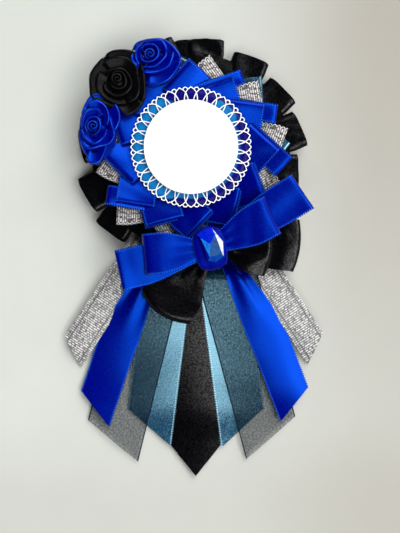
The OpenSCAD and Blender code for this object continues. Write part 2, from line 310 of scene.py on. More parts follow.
@dataclass
class Ribbon:
    """One length of ribbon.

    Attributes:
        width: Width from edge to edge.
        length: Length of its longest thread.
        place: Gives the point in the frame at each distance along and across.
        weave: How it is woven.
        cut: Gives the ribbon's length at each distance across, where its end is cut askew.
        thickness: Thickness of the cloth.
        row_step: Distance between rows of the mesh, or 0 for the weave's own.
        column_step: Distance between columns of the mesh.
        ring: Whether its two ends are joined.
        rim: Where across it a fold takes the edge's colour as a painted highlight line, in places, or none.
    """

    width: float
    length: float
    place: Place
    weave: Weave = Weave.SATIN
    cut: Callable[[np.ndarray], np.ndarray] | None = None
    thickness: float = 0.25
    row_step: float = 0.0
    column_step: float = 1.7
    ring: bool = False
    rim: float | None = None

    # Loops of thread along a satin edge: their pitch, the rows of the mesh to one and their reach
    PICOT_PITCH: ClassVar[float] = 1.2
    PICOT_ROWS: ClassVar[int] = 4
    PICOT: ClassVar[float] = 0.5
    SELVAGE: ClassVar[float] = 0.7
    # Ribs of the metallic weave: their pitch and height
    RIB_PITCH: ClassVar[float] = 1.1
    RIB: ClassVar[float] = 0.03
    # Added to the distance from a plain edge, so that no thread shows along it
    PLAIN: ClassVar[float] = 1.0
    # Painted highlight along a fold: length of its waves, then its least and its further sharpness
    FOLD_HIGHLIGHT_WAVE: ClassVar[float] = 13.0
    FOLD_HIGHLIGHT_SHARP: ClassVar[tuple[float, float]] = (2.4, 3.0)
    # Distance between rows of the mesh
    STEPS: ClassVar[dict[Weave, float]] = {
        Weave.SATIN: 0.3,
        Weave.PLAIN_EDGE: 0.6,
        Weave.METALLIC: 0.22,
        Weave.ORGANZA: 1.0,
    }

    def lengths(self, across: np.ndarray) -> np.ndarray:
        """Length of the ribbon at each distance across."""
        return self.cut(across) if self.cut else np.full(len(across), self.length)

    def area(self) -> float:
        """Flat area of the cloth in square millimetres."""
        across = np.linspace(-self.width / 2, self.width / 2, 50)
        return float(self.lengths(across).mean() * self.width)

    def weave_into(self, mesh: PieceMesh) -> None:
        """Add the ribbon to a piece's mesh, with the small loops or ribs of its weave."""
        half = self.width / 2
        inner = half - self.SELVAGE
        count = 2 * max(1, round(inner / self.column_step)) + 1
        columns = np.concatenate([[-half], np.linspace(-inner, inner, count), [half]])
        step = self.row_step or self.STEPS[self.weave]
        rows = max(3, round(self.length / step) + 1)
        share = np.linspace(0, 1, rows, endpoint=not self.ring)
        s = share[:, None] * self.lengths(columns)[None, :]
        t = np.tile(columns, (rows, 1))
        reach = t.copy()
        if self.weave is Weave.SATIN:
            between = np.arange(rows) % self.PICOT_ROWS < self.PICOT_ROWS / 2
            out = np.where(between, 0.0, self.PICOT)
            reach[:, 0] -= out
            reach[:, -1] += out
        points = self.place(s, reach)
        if self.weave is Weave.METALLIC:
            rib = self.RIB * np.cos(2 * math.pi * s / self.RIB_PITCH)
            points = points + grid_normals(points, self.ring) * rib[..., None]
        edge = half - np.abs(t) + (self.PLAIN if self.weave is Weave.PLAIN_EDGE else 0.0)
        # A fold takes the edge's colour along it: a painted highlight line
        if self.rim is not None:
            wave = 0.5 + 0.5 * np.sin(2 * math.pi * s / self.FOLD_HIGHLIGHT_WAVE + self.length)
            least, further = self.FOLD_HIGHLIGHT_SHARP
            s, edge = np.zeros(s.shape), (least + further * wave) * np.abs(t - self.rim)
        mesh.slab(points, np.stack([s, t, edge], axis=-1), self.thickness, self.ring)


class Nodes:
    """Adds nodes to one shader tree and wires them."""

    def __init__(self, tree: bpy.types.NodeTree) -> None:
        """Work on that tree."""
        self.tree = tree

    def feed(self, node: bpy.types.Node, inputs: dict[str | int, Value]) -> bpy.types.Node:
        """Set a node's inputs.

        Args:
            node: The node.
            inputs: Sockets by name or number, each a value, a socket to link from, or none.

        Returns:
            The same node.
        """
        for name, value in inputs.items():
            if isinstance(value, bpy.types.NodeSocket):
                self.tree.links.new(value, node.inputs[name])
            elif value is not None:
                node.inputs[name].default_value = value
        return node

    def add(
        self, kind: str, inputs: dict[str | int, Value] | None = None, **settings: object
    ) -> bpy.types.Node:
        """Add a node.

        Args:
            kind: Blender's name of the node type.
            inputs: Inputs, as feed takes them.
            **settings: The node's own settings.

        Returns:
            The new node.
        """
        node = self.tree.nodes.new(kind)
        for name, value in settings.items():
            setattr(node, name, value)
        return self.feed(node, inputs or {})

    def group(self, tree: bpy.types.NodeTree, inputs: dict[str | int, Value]) -> bpy.types.Node:
        """Place a node group."""
        return self.add("ShaderNodeGroup", inputs, node_tree=tree)

    def math(self, operation: str, a: Value, b: Value = None, c: Value = None) -> bpy.types.NodeSocket:
        """Result of a Math node."""
        return self.add("ShaderNodeMath", {0: a, 1: b, 2: c}, operation=operation).outputs[0]

    def mix(self, factor: Value, a: Value, b: Value) -> bpy.types.NodeSocket:
        """Result of a colour Mix node."""
        return self.add("ShaderNodeMix", {"Factor": factor, 6: a, 7: b}, data_type="RGBA").outputs[2]

    def map_range(
        self, value: Value, low: float, high: float, to_low: float = 0, to_high: float = 1
    ) -> bpy.types.NodeSocket:
        """Result of a smooth Map Range node."""
        inputs = {0: value, 1: low, 2: high, 3: to_low, 4: to_high}
        return self.add("ShaderNodeMapRange", inputs, interpolation_type="SMOOTHSTEP").outputs[0]

    def bump(self, strength: float, distance: float, height: Value) -> bpy.types.NodeSocket:
        """Normal of a Bump node."""
        inputs = {"Strength": strength, "Distance": distance, "Height": height}
        return self.add("ShaderNodeBump", inputs).outputs[0]

    def split(self, vector: Value) -> list[bpy.types.NodeSocket]:
        """The three parts of a vector."""
        return list(self.add("ShaderNodeSeparateXYZ", {0: vector}).outputs)

    def cloth(self) -> bpy.types.NodeSocket:
        """Place on the cloth: along, across and distance from the edge, in millimetres."""
        return self.add("ShaderNodeAttribute", attribute_name="cloth").outputs["Vector"]

    def place(self, kind: str) -> bpy.types.NodeSocket:
        """Place on the object, or direction in the world, by the name of the coordinate."""
        return self.add("ShaderNodeTexCoord").outputs[kind]


class Effects:
    """Node groups that several materials use, each built once."""

    @staticmethod
    def start(
        name: str, inputs: dict[str, str], outputs: dict[str, str]
    ) -> tuple[Nodes, Sequence[bpy.types.NodeSocket], bpy.types.Node]:
        """Make an empty group with named sockets.

        Args:
            name: Name of the group.
            inputs: Kind of each input by its name.
            outputs: Kind of each output by its name.

        Returns:
            The group's nodes, the sockets of its input node and its output node.
        """
        tree = bpy.data.node_groups.new(name, "ShaderNodeTree")
        for side, sockets in (("INPUT", inputs), ("OUTPUT", outputs)):
            for socket, kind in sockets.items():
                tree.interface.new_socket(socket, in_out=side, socket_type=f"NodeSocket{kind}")
        nodes = Nodes(tree)
        return nodes, nodes.add("NodeGroupInput").outputs, nodes.add("NodeGroupOutput")

    @staticmethod
    @cache
    def threads() -> bpy.types.NodeTree:
        """Long fine threads of a satin face, as a height and a mask."""
        nodes, given, out = Effects.start(
            "threads",
            {"Cloth": "Vector", "Along": "Float", "Across": "Float"},
            {"Height": "Float", "Mask": "Float"},
        )
        along, across, _ = nodes.split(given["Cloth"])
        along = nodes.math("MULTIPLY", along, given["Along"])
        across = nodes.math("MULTIPLY", across, given["Across"])
        place = nodes.add("ShaderNodeCombineXYZ", {0: along, 1: across}).outputs[0]
        noise = nodes.add("ShaderNodeTexNoise", {"Vector": place, "Scale": 1.0, "Detail": 3.0}).outputs[0]
        nodes.feed(out, {"Height": noise, "Mask": nodes.map_range(noise, 0.3, 0.7)})
        return nodes.tree

    @staticmethod
    @cache
    def mottle() -> bpy.types.NodeTree:
        """Soft uneven colour of a dyed cloth or painted face."""
        nodes, given, out = Effects.start(
            "mottle",
            {"Colour": "Color", "Amount": "Float", "Scale": "Float"},
            {"Colour": "Color", "Mask": "Float"},
        )
        noise = nodes.add(
            "ShaderNodeTexNoise", {"Vector": nodes.place("Object"), "Scale": given["Scale"], "Detail": 4.0}
        )
        mask = nodes.map_range(noise.outputs[0], 0.25, 0.75)
        low = nodes.math("SUBTRACT", 1.0, given["Amount"])
        high = nodes.math("ADD", 1.0, given["Amount"])
        shade = nodes.add("ShaderNodeMapRange", {0: mask, 1: 0.0, 2: 1.0, 3: low, 4: high})
        colour = nodes.add(
            "ShaderNodeVectorMath", {0: given["Colour"], "Scale": shade.outputs[0]}, operation="SCALE"
        )
        nodes.feed(out, {"Colour": colour.outputs[0], "Mask": mask})
        return nodes.tree

    @staticmethod
    @cache
    def edge() -> bpy.types.NodeTree:
        """Small loops of thread within a width of a cloth's edge, drawn with a painted highlight and painted
        shade in the gaps.
        """
        nodes, given, out = Effects.start(
            "edge",
            {"Colour": "Color", "Edge": "Color", "Cloth": "Vector", "Width": "Float", "Pitch": "Float"},
            {"Colour": "Color", "Gap": "Float"},
        )
        along, _, inward = nodes.split(given["Cloth"])
        near = nodes.map_range(nodes.math("DIVIDE", inward, given["Width"]), 0.6, 1.0, 1.0, 0.0)
        half = nodes.math("MULTIPLY", given["Pitch"], 0.5)
        step = nodes.math("DIVIDE", nodes.math("PINGPONG", along, half), half)
        dot = nodes.map_range(step, 0.45, 0.65, 1.0, 0.0)
        # Painted shade in the gaps between the loops, and a painted highlight on the loops
        painted_shade_gap = nodes.mix(0.6, given["Colour"], (0.0, 0.0, 0.0, 1.0))
        thread = nodes.mix(dot, painted_shade_gap, given["Edge"])
        colour = nodes.mix(near, given["Colour"], thread)
        gaps = nodes.math("MULTIPLY", near, nodes.math("SUBTRACT", 1.0, dot))
        nodes.feed(out, {"Colour": colour, "Gap": gaps})
        return nodes.tree


@dataclass(frozen=True)
class Finish:
    """What every finish has: the name of its material and a main shader."""

    name: str

    def shader(self, **inputs: Value) -> tuple[bpy.types.Material, Nodes, bpy.types.Node]:
        """Make a material with a Principled shader.

        Args:
            **inputs: Constants of the shader, with _ for a space in a socket's name.

        Returns:
            The material, its nodes and the shader node.
        """
        material = bpy.data.materials.new(self.name)
        material.use_nodes = True
        nodes = Nodes(material.node_tree)
        nodes.tree.nodes.clear()
        named = {key.replace("_", " "): value for key, value in inputs.items()}
        shader = nodes.add("ShaderNodeBsdfPrincipled", named)
        nodes.add("ShaderNodeOutputMaterial", {"Surface": shader.outputs[0]})
        return material, nodes, shader


@dataclass(frozen=True)
class Satin(Finish):
    """Satin ribbon: long floating threads, a coloured sheen, and loops of thread along its edges with a
    painted highlight and painted shade between them.

    Attributes:
        colour: Colour of the dye.
        glow: Tint of the sheen.
        edge: Colour of the loops of thread along its edges, a painted highlight; along a fold, a painted
            highlight line.
        ior: Strength of the sheen, as an index of refraction.
        roughness: Roughness of the sheen.
        grain: How uneven its colour is from thread to thread.
        grain_bump: How strongly its threads stand out.
        speckle: How strongly a sharper sheen shows in specks.
        dull: How much rougher those specks are under it.
    """

    colour: Colour
    glow: Colour
    edge: Colour
    ior: float
    roughness: float
    grain: float = 0.1
    grain_bump: float = 0.2
    speckle: float = 0.0
    dull: float = 0.0

    # Width along an edge that takes the painted highlight and shade of its loops
    EDGE_HIGHLIGHT_WIDTH: ClassVar[float] = 0.6
    GAP_ROUGHNESS: ClassVar[float] = 0.8
    # Uneven dye: how uneven, and its patches to a metre
    DYE: ClassVar[tuple[float, float]] = (0.08, 300.0)
    # Specks of the grain to a metre
    GRAIN_SCALE: ClassVar[float] = 1150.0
    # Threads to a millimetre, along and across the ribbon, and their height in metres
    THREADS: ClassVar[tuple[float, float]] = (0.5, 5.0)
    THREAD_HEIGHT: ClassVar[float] = 0.00003

    def make(self) -> bpy.types.Material:
        """Make the material."""
        material, nodes, shader = self.shader(
            Specular_Tint=(*self.glow, 1.0), IOR=self.ior, Coat_Roughness=0.2
        )
        cloth = nodes.cloth()
        along, across = self.THREADS
        threads = nodes.group(Effects.threads(), {"Cloth": cloth, "Along": along, "Across": across}).outputs
        uneven, patches = self.DYE
        dye = nodes.group(
            Effects.mottle(), {"Colour": (*self.colour, 1.0), "Amount": uneven, "Scale": patches}
        ).outputs
        grain = nodes.group(
            Effects.mottle(), {"Colour": dye["Colour"], "Amount": self.grain, "Scale": self.GRAIN_SCALE}
        ).outputs
        near = nodes.group(
            Effects.edge(),
            {
                "Colour": grain["Colour"],
                "Edge": (*self.edge, 1.0),
                "Cloth": cloth,
                "Width": self.EDGE_HIGHLIGHT_WIDTH,
                "Pitch": Ribbon.PICOT_PITCH,
            },
        ).outputs
        speck = nodes.map_range(grain["Mask"], 0.1, 0.9)
        rough = nodes.map_range(threads["Mask"], 0.0, 1.0, self.roughness - 0.03, self.roughness + 0.05)
        rough = nodes.math("ADD", rough, nodes.math("MULTIPLY", speck, self.dull))
        rough = nodes.math("MAXIMUM", rough, nodes.math("MULTIPLY", near["Gap"], self.GAP_ROUGHNESS))
        height = nodes.math("ADD", threads["Height"], grain["Mask"])
        nodes.feed(shader, {
            "Base Color": near["Colour"],
            "Roughness": rough,
            "Coat Weight": nodes.math("MULTIPLY", speck, self.speckle),
            "Normal": nodes.bump(self.grain_bump, self.THREAD_HEIGHT, height),
        })
        return material


@dataclass(frozen=True)
class Metallic(Finish):
    """Silver ribbon: ribs of flat foil thread over dark yarn, each piece of foil with a painted glint, and a
    zigzag or a seam at its edges.

    Attributes:
        bright: Colour of the foil.
        dark: Colour of the yarn.
        zigzag: Strength of the zigzag.
        hem: Distance of the seam from the edge, or 0.
    """

    bright: Colour = (0.66, 0.64, 0.63)
    dark: Colour = (0.03, 0.024, 0.025)
    zigzag: float = 0.95
    hem: float = 0.0

    ZIGZAG_PITCH: ClassVar[float] = 2.2
    ZIGZAG_REACH: ClassVar[float] = 1.0
    # Half the width of the zigzag's thread and of the seam, where each is full and where it is gone
    LINE: ClassVar[tuple[float, float]] = (0.12, 0.42)
    SEAM: ClassVar[tuple[float, float]] = (0.2, 0.6)
    # Width of a foil thread
    THREAD: ClassVar[float] = 0.6
    # Soft patches of painted glitter to a millimetre, and their share in the painted glitter
    PATCH: ClassVar[float] = 0.7
    PATCH_SHARE: ClassVar[float] = 0.3
    # Painted glint: brightness of the dullest and of the brightest piece of foil
    PAINTED_GLINT: ClassVar[tuple[float, float]] = (0.1, 1.35)
    # Height of the glitter in metres
    GLINT_HEIGHT: ClassVar[float] = 0.0002

    def make(self) -> bpy.types.Material:
        """Make the material."""
        material, nodes, shader = self.shader(Metallic=0.06, Specular_IOR_Level=0.3)
        cloth = nodes.cloth()
        along, across, edge = nodes.split(cloth)
        rib = nodes.math("DIVIDE", along, Ribbon.RIB_PITCH)
        groove = nodes.math("ABSOLUTE", nodes.math("SUBTRACT", rib, nodes.math("ROUND", rib)))
        ridge = nodes.map_range(groove, 0.18, 0.4, 1.0, 0.05)
        patches = nodes.group(Effects.threads(), {"Cloth": cloth, "Along": self.PATCH, "Across": self.PATCH})
        glint = nodes.mix(self.PATCH_SHARE, self.glint(nodes, along, across), patches.outputs["Mask"])
        # Each piece of foil is painted brighter or darker at random, a painted glint
        light = nodes.math("MULTIPLY", ridge, nodes.map_range(glint, 0.1, 0.9, *self.PAINTED_GLINT))
        zig = nodes.math("PINGPONG", along, self.ZIGZAG_PITCH / 2)
        zig = nodes.math("MULTIPLY", zig, self.ZIGZAG_REACH / (self.ZIGZAG_PITCH / 2))
        near = nodes.math("ABSOLUTE", nodes.math("SUBTRACT", zig, edge))
        line = nodes.map_range(near, *self.LINE, self.zigzag, 0.0)
        inside = nodes.map_range(edge, 1.0, 1.4, 1.0 if self.hem else 0.0, 1.0)
        seam = nodes.math("ABSOLUTE", nodes.math("SUBTRACT", edge, self.hem))
        inside = nodes.math("MULTIPLY", inside, nodes.map_range(seam, *self.SEAM, 0.1, 1.0))
        band = nodes.math("MAXIMUM", line, nodes.math("MULTIPLY", light, inside))
        mask = nodes.math("MINIMUM", band, 1.0)
        nodes.feed(shader, {
            "Base Color": nodes.mix(mask, (*self.dark, 1.0), (*self.bright, 1.0)),
            "Roughness": nodes.map_range(glint, 0.0, 1.0, 0.26, 0.5),
            "Normal": nodes.bump(0.6, self.GLINT_HEIGHT, glint),
        })
        return material

    def glint(self, nodes: Nodes, along: Value, across: Value) -> bpy.types.NodeSocket:
        """A random value from 0 to 1 for each piece of foil between two grooves."""
        length = Ribbon.RIB_PITCH
        row = nodes.math("ROUND", nodes.math("DIVIDE", along, length))
        column = nodes.math("ROUND", nodes.math("DIVIDE", across, self.THREAD))
        cell = nodes.add("ShaderNodeCombineXYZ", {0: row, 1: column, 2: length})
        return nodes.add("ShaderNodeTexWhiteNoise", {"Vector": cell.outputs[0]}).outputs[0]


@dataclass(frozen=True)
class Organza(Finish):
    """Sheer black ribbon: an open plain weave with a dense edge.

    Attributes:
        colour: Colour of its threads.
        cover: How much of what lies under it they hide.
    """

    colour: Colour = (0.001, 0.01, 0.022)
    cover: float = 0.3

    # Threads to a millimetre, and their height in metres
    THREADS: ClassVar[float] = 1.1
    THREAD_HEIGHT: ClassVar[float] = 0.00008
    # Width of the dense edge, where it is full and where it is gone
    HEM: ClassVar[tuple[float, float]] = (0.5, 0.7)

    def make(self) -> bpy.types.Material:
        """Make the material."""
        material, nodes, shader = self.shader(IOR=1.2)
        cloth = nodes.cloth()
        edge = nodes.split(cloth)[2]
        threads = nodes.group(
            Effects.threads(), {"Cloth": cloth, "Along": self.THREADS, "Across": self.THREADS}
        ).outputs
        mottle = nodes.group(
            Effects.mottle(), {"Colour": (*self.colour, 1.0), "Amount": 0.25, "Scale": 1200.0}
        )
        cover = nodes.map_range(threads["Mask"], 0.0, 1.0, self.cover - 0.1, self.cover + 0.12)
        nodes.feed(shader, {
            "Base Color": mottle.outputs["Colour"],
            "Alpha": nodes.math("MAXIMUM", cover, nodes.map_range(edge, *self.HEM, 1.0, 0.0)),
            "Roughness": nodes.map_range(threads["Mask"], 0.0, 1.0, 0.5, 0.62),
            "Normal": nodes.bump(0.3, self.THREAD_HEIGHT, threads["Height"]),
        })
        return material


@dataclass(frozen=True)
class Coat(Finish):
    """A smooth or matt surface that isn't woven, such as felt, plastic, stone or steel.

    Attributes:
        colour: Its colour.
        roughness: Its roughness.
        metallic: 1 for metal.
        coat: Strength of a clear coat.
        uneven: How uneven its colour is.
        grain: Patches of its grain to a metre.
        bump: How strongly the grain stands out.
        level: Strength of its reflections, 0.5 for plastic.
    """

    colour: Colour
    roughness: float
    metallic: float = 0.0
    coat: float = 0.0
    uneven: float = 0.04
    grain: float = 400.0
    bump: float = 0.05
    level: float = 0.5

    def make(self) -> bpy.types.Material:
        """Make the material."""
        material, nodes, shader = self.shader(
            Metallic=self.metallic, Coat_Weight=self.coat, Coat_Roughness=0.08, Specular_IOR_Level=self.level
        )
        mottle = nodes.group(
            Effects.mottle(), {"Colour": (*self.colour, 1.0), "Amount": self.uneven, "Scale": self.grain}
        ).outputs
        least, most = self.roughness * 0.9, min(1.0, self.roughness * 1.1)
        nodes.feed(shader, {
            "Base Color": mottle["Colour"],
            "Roughness": nodes.map_range(mottle["Mask"], 0.0, 1.0, least, most),
            "Normal": nodes.bump(self.bump, 0.0002, mottle["Mask"]),
        })
        return material


@dataclass(frozen=True)
class Enamel(Finish):
    """Glossy shell of the badge, light blue in some places and navy in others.

    Attributes:
        navy: Its dark colour.
        cyan: Its light colour.
    """

    navy: Colour = (0.001, 0.0, 0.13)
    cyan: Colour = (0.003, 0.15, 0.41)

    def make(self) -> bpy.types.Material:
        """Make the material."""
        material, nodes, shader = self.shader(Specular_IOR_Level=0.1, Coat_Weight=0.03, Coat_Roughness=0.1)
        share = nodes.split(nodes.cloth())[0]
        colour = nodes.mix(share, (*self.navy, 1.0), (*self.cyan, 1.0))
        mottle = nodes.group(Effects.mottle(), {"Colour": colour, "Amount": 0.12, "Scale": 500.0}).outputs
        nodes.feed(shader, {
            "Base Color": mottle["Colour"],
            "Roughness": nodes.map_range(mottle["Mask"], 0.0, 1.0, 0.3, 0.36),
        })
        return material


@dataclass(frozen=True)
class Paper(Finish):
    """Pale paper under the rosette, with painted shade that makes it darker and warmer towards its right side
    and its foot.

    Attributes:
        pale: Its colour at the left.
        dark: Its colour at the far right, where the painted shade is deepest.
        right: Where it begins to darken to the right, and by where it has darkened, in metres.
        up: Where that darkening is least and where it is most, in metres up from the middle.
        up_share: The least and the most of it.
        foot: Where it begins to darken near its foot, and by where it has darkened.
        foot_share: How much it darkens there.
    """

    pale: Colour = (0.515, 0.535, 0.505)
    dark: Colour = (0.32, 0.295, 0.255)
    right: tuple[float, float] = (-0.03, 0.1)
    up: tuple[float, float] = (-0.15, 0.14)
    up_share: tuple[float, float] = (0.38, 0.86)
    foot: tuple[float, float] = (-0.07, -0.13)
    foot_share: float = 0.27

    def make(self) -> bpy.types.Material:
        """Make the material."""
        material, nodes, shader = self.shader()
        across, up, _ = nodes.split(nodes.place("Object"))
        # Painted shade: darker and warmer to the right, more so higher up, and towards the foot
        share = nodes.math(
            "MULTIPLY",
            nodes.math("POWER", nodes.map_range(across, *self.right), 1.7),
            nodes.map_range(up, *self.up, *self.up_share),
        )
        share = nodes.math("ADD", share, nodes.map_range(up, *self.foot, 0.0, self.foot_share))
        colour = nodes.mix(share, (*self.pale, 1.0), (*self.dark, 1.0))
        mottle = nodes.group(Effects.mottle(), {"Colour": colour, "Amount": 0.02, "Scale": 30.0}).outputs
        nodes.feed(shader, {
            "Base Color": mottle["Colour"],
            "Roughness": nodes.map_range(mottle["Mask"], 0.0, 1.0, 0.75, 0.85),
        })
        return material


class Look:
    """A finished material and the slot of the record that it belongs to."""

    def __init__(self, slot: str, finish: Satin | Metallic | Organza | Coat | Enamel) -> None:
        """Make the finish's material for that slot."""
        self.slot = slot
        self.material = finish.make()


class Palette:
    """Every look of the rosette, made once."""

    # The stone's facets: its blue with painted reflections and one white painted highlight, each colour with
    # the strength of its clear coat and reflections
    STONE_PAINTED_LIGHT: ClassVar[tuple[tuple[Colour, float], ...]] = (
        ((0.0, 0.012, 0.55), 0.5),
        ((0.0, 0.24, 1.0), 0.5),
        ((0.0, 0.05, 0.2), 0.04),
        ((0.7, 0.7, 0.9), 0.5),
        ((0.0, 0.045, 0.35), 0.04),
    )

    def __init__(self) -> None:
        """Make the looks."""
        self.royal = Look("royal_blue_satin", Satin(
            "royal_satin", colour=(0.0003, 0.0004, 0.17), glow=(0.004, 0.13, 1.0), edge=(0.01, 0.08, 0.6),
            ior=2.13, roughness=0.25,
        ))
        # Copy of the royal satin with darker colour, sheen and edge: painted shade for the knot
        self.royal_shaded = Look("royal_blue_satin", Satin(
            "royal_satin_painted_shade", colour=(0.0008, 0.0008, 0.15), glow=(0.005, 0.05, 1.0),
            edge=(0.004, 0.03, 0.3), ior=1.5, roughness=0.3,
        ))
        self.black = Look("black_satin", Satin(
            "black_satin", colour=(0.0012, 0.0012, 0.002), glow=(0.97, 0.96, 1.0),
            edge=(0.012, 0.012, 0.013), ior=1.16, roughness=0.16, grain=0.6, grain_bump=0.3, speckle=0.42,
        ))
        self.black_rose = Look("black_satin", Satin(
            "black_satin_matt", colour=(0.0016, 0.0016, 0.002), glow=(0.95, 0.96, 1.0),
            edge=(0.02, 0.02, 0.023), ior=1.15, roughness=0.3, grain=0.5, grain_bump=0.4, speckle=0.05,
        ))
        self.light = Look("light_blue_satin", Satin(
            "light_blue_satin", colour=(0.002, 0.034, 0.082), glow=(0.38, 0.8, 1.0), edge=(0.3, 0.5, 0.62),
            ior=2.75, roughness=0.18, grain=0.45, grain_bump=0.4, speckle=0.7, dull=0.07,
        ))
        self.silver = Look("silver_ribbon", Metallic("silver_ribbon"))
        # Silver of the tails: the same ribbon with a seam, and a lighter yarn colour as painted light for
        # their flat run
        self.hemmed_and_lit = Look("silver_ribbon", Metallic(
            "silver_ribbon_hemmed_and_lit", bright=(0.62, 0.62, 0.62), dark=(0.1, 0.1, 0.1), zigzag=0.0, hem=2.3
        ))
        self.organza = Look("black_organza", Organza("black_organza"))
        self.felt = Look("felt", Coat("felt", (0.02, 0.02, 0.022), 0.95, uneven=0.3, bump=0.5, grain=900))
        self.steel = Look("steel", Coat("pin_steel", (0.62, 0.62, 0.62), 0.3, metallic=1.0))
        self.shell = Look("badge_blue", Enamel("badge_blue"))
        self.lace = Look("lace_white", Coat("lace_white", (0.9, 0.9, 0.9), 0.5))
        self.face = Look("face_white", Coat("face_white", (0.95, 0.95, 0.95), 0.35, uneven=0.01))
        self.stone = [
            Look("cut_stone", Coat(
                f"stone_painted_light_{i}", facet_light, 0.2, coat=coat, uneven=0.35, grain=700, level=coat
            ))
            for i, (facet_light, coat) in enumerate(self.STONE_PAINTED_LIGHT)
        ]


def replace(piece: bpy.types.Object, node: str) -> None:
    """Let a piece stand for a CAD node by hiding the node's part."""
    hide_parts(node)
    LOG.info("%s: %d faces, stands for %s", piece.name, len(piece.data.polygons), node)


def declare(ribbons: Sequence[Ribbon]) -> None:
    """Add up the flat area of a piece's ribbons; the sum is not used.

    Args:
        ribbons: The lengths of ribbon in it, whose area is given at the width of the widest.
    """
    area = sum(ribbon.area() for ribbon in ribbons)


def make_cloth(
    name: str, ribbons: Sequence[Ribbon], look: Look, node: str
) -> None:
    """Args:
        name: Name of the piece.
        ribbons: The lengths of ribbon in it.
        look: Its look.
        node: CAD node that it stands for.
    """
    mesh = PieceMesh(name)
    for ribbon in ribbons:
        ribbon.weave_into(mesh)
    piece = mesh.build([look.material])
    replace(piece, node)
    declare(ribbons)


@dataclass
class Studio:
    """Camera, floor and light.

    Attributes:
        eye_z: Height of the camera.
        lens: Its focal length, in millimetres as Blender counts them.
        floor_side: Side of the floor, in metres.
        walls: Upward share of a direction from where to where, and the brightness at each.
        sides: Rightward share of a direction from where to where, and the factor at each on the walls.
        skylight: Degrees round, share of a direction that way from where to where, and brightness.
        skylight_foot: Upward share of a direction over which the skylight begins.
        lamp: Degrees off the zenith, degrees round, inner and outer radius in degrees, brightness.
        window: Place of a square soft light that faces the rosette.
        window_side: Length of its side.
        window_power: Its power in watts.
        window_colour: Its colour.
    """

    eye_z: float = 488.0
    lens: float = 64.8
    floor_side: float = 4.0
    walls: tuple[float, float, float, float] = (0.3, 0.6, 0.64, 0.02)
    sides: tuple[float, float, float, float] = (-0.2, 0.5, 0.3, 1.4)
    skylight: tuple[float, float, float, float] = (-50, 0.13, 0.24, 4.3)
    skylight_foot: tuple[float, float] = (0.6, 0.85)
    lamp: tuple[float, float, float, float, float] = (44, 62, 16, 28, 5.5)
    window: tuple[float, float, float] = (480, -80, 755)
    window_side: float = 300
    window_power: float = 1.0
    window_colour: Colour = (1.0, 0.985, 0.96)

    def build(self) -> None:
        """Set up the camera, the floor, the lights and the colour of the render."""
        scene = bpy.context.scene
        scene.view_settings.view_transform = "Standard"
        camera = bpy.data.cameras.new("camera")
        camera.lens = self.lens
        camera.clip_start = 0.01
        camera.clip_end = 20
        scene.camera = self.hang(camera, (*AXIS, self.eye_z))
        self.make_floor()
        self.make_world()
        self.make_window()

    @staticmethod
    def hang(data: bpy.types.ID, place: tuple[float, float, float]) -> bpy.types.Object:
        """Put a camera or light at a place in the scene."""
        holder = bpy.data.objects.new(data.name, data)
        holder.location = [value * MM for value in place]
        bpy.context.scene.collection.objects.link(holder)
        return holder

    def make_floor(self) -> None:
        """Lay the pale paper that the rosette lies on."""
        half = self.floor_side / 2
        mesh = bpy.data.meshes.new("floor")
        corners = [(-half, -half, 0), (half, -half, 0), (half, half, 0), (-half, half, 0)]
        mesh.from_pydata(corners, [], [(0, 1, 2, 3)])
        floor = bpy.data.objects.new("floor", mesh)
        bpy.context.scene.collection.objects.link(floor)
        mesh.materials.append(Paper("paper").make())

    def make_world(self) -> None:
        """Surround the scene with a dark ceiling, pale walls, a skylight and a round lamp."""
        world = bpy.data.worlds.new("room")
        world.use_nodes = True
        nodes = Nodes(world.node_tree)
        nodes.tree.nodes.clear()
        where = nodes.place("Generated")
        right, _, up = nodes.split(where)
        walls = nodes.math("MULTIPLY", nodes.map_range(up, *self.walls), nodes.map_range(right, *self.sides))
        turn, low, high, power = self.skylight
        ahead = nodes.map_range(self.towards(nodes, where, 90, turn), low, high, 0.0, power)
        skylight = nodes.math("MULTIPLY", ahead, nodes.map_range(up, *self.skylight_foot))
        tilt, turn, inner, outer, power = self.lamp
        edges = math.cos(math.radians(outer)), math.cos(math.radians(inner))
        lamp = nodes.map_range(self.towards(nodes, where, tilt, turn), *edges, 0.0, power)
        strength = nodes.math("ADD", nodes.math("ADD", walls, skylight), lamp)
        background = nodes.add("ShaderNodeBackground", {"Color": (1.0, 1.0, 0.99, 1.0), "Strength": strength})
        nodes.add("ShaderNodeOutputWorld", {"Surface": background.outputs[0]})
        bpy.context.scene.world = world

    @staticmethod
    def towards(nodes: Nodes, where: Value, tilt: float, turn: float) -> bpy.types.NodeSocket:
        """How far a direction points the given way, from -1 to 1.

        Args:
            nodes: Nodes of the world.
            where: The direction.
            tilt: Degrees off the zenith.
            turn: Degrees round from +X.

        Returns:
            The share.
        """
        flat = direction(turn) * math.sin(math.radians(tilt))
        way = (float(flat[0]), float(flat[1]), math.cos(math.radians(tilt)))
        product = nodes.add("ShaderNodeVectorMath", {0: where, 1: way}, operation="DOT_PRODUCT")
        return product.outputs["Value"]

    def make_window(self) -> None:
        """Hang the window's light, facing the rosette."""
        light = bpy.data.lights.new("window", "AREA")
        light.size = self.window_side * MM
        light.energy = self.window_power
        light.color = self.window_colour
        holder = self.hang(light, self.window)
        holder.rotation_euler = (-holder.location).to_track_quat("-Z", "Y").to_euler()


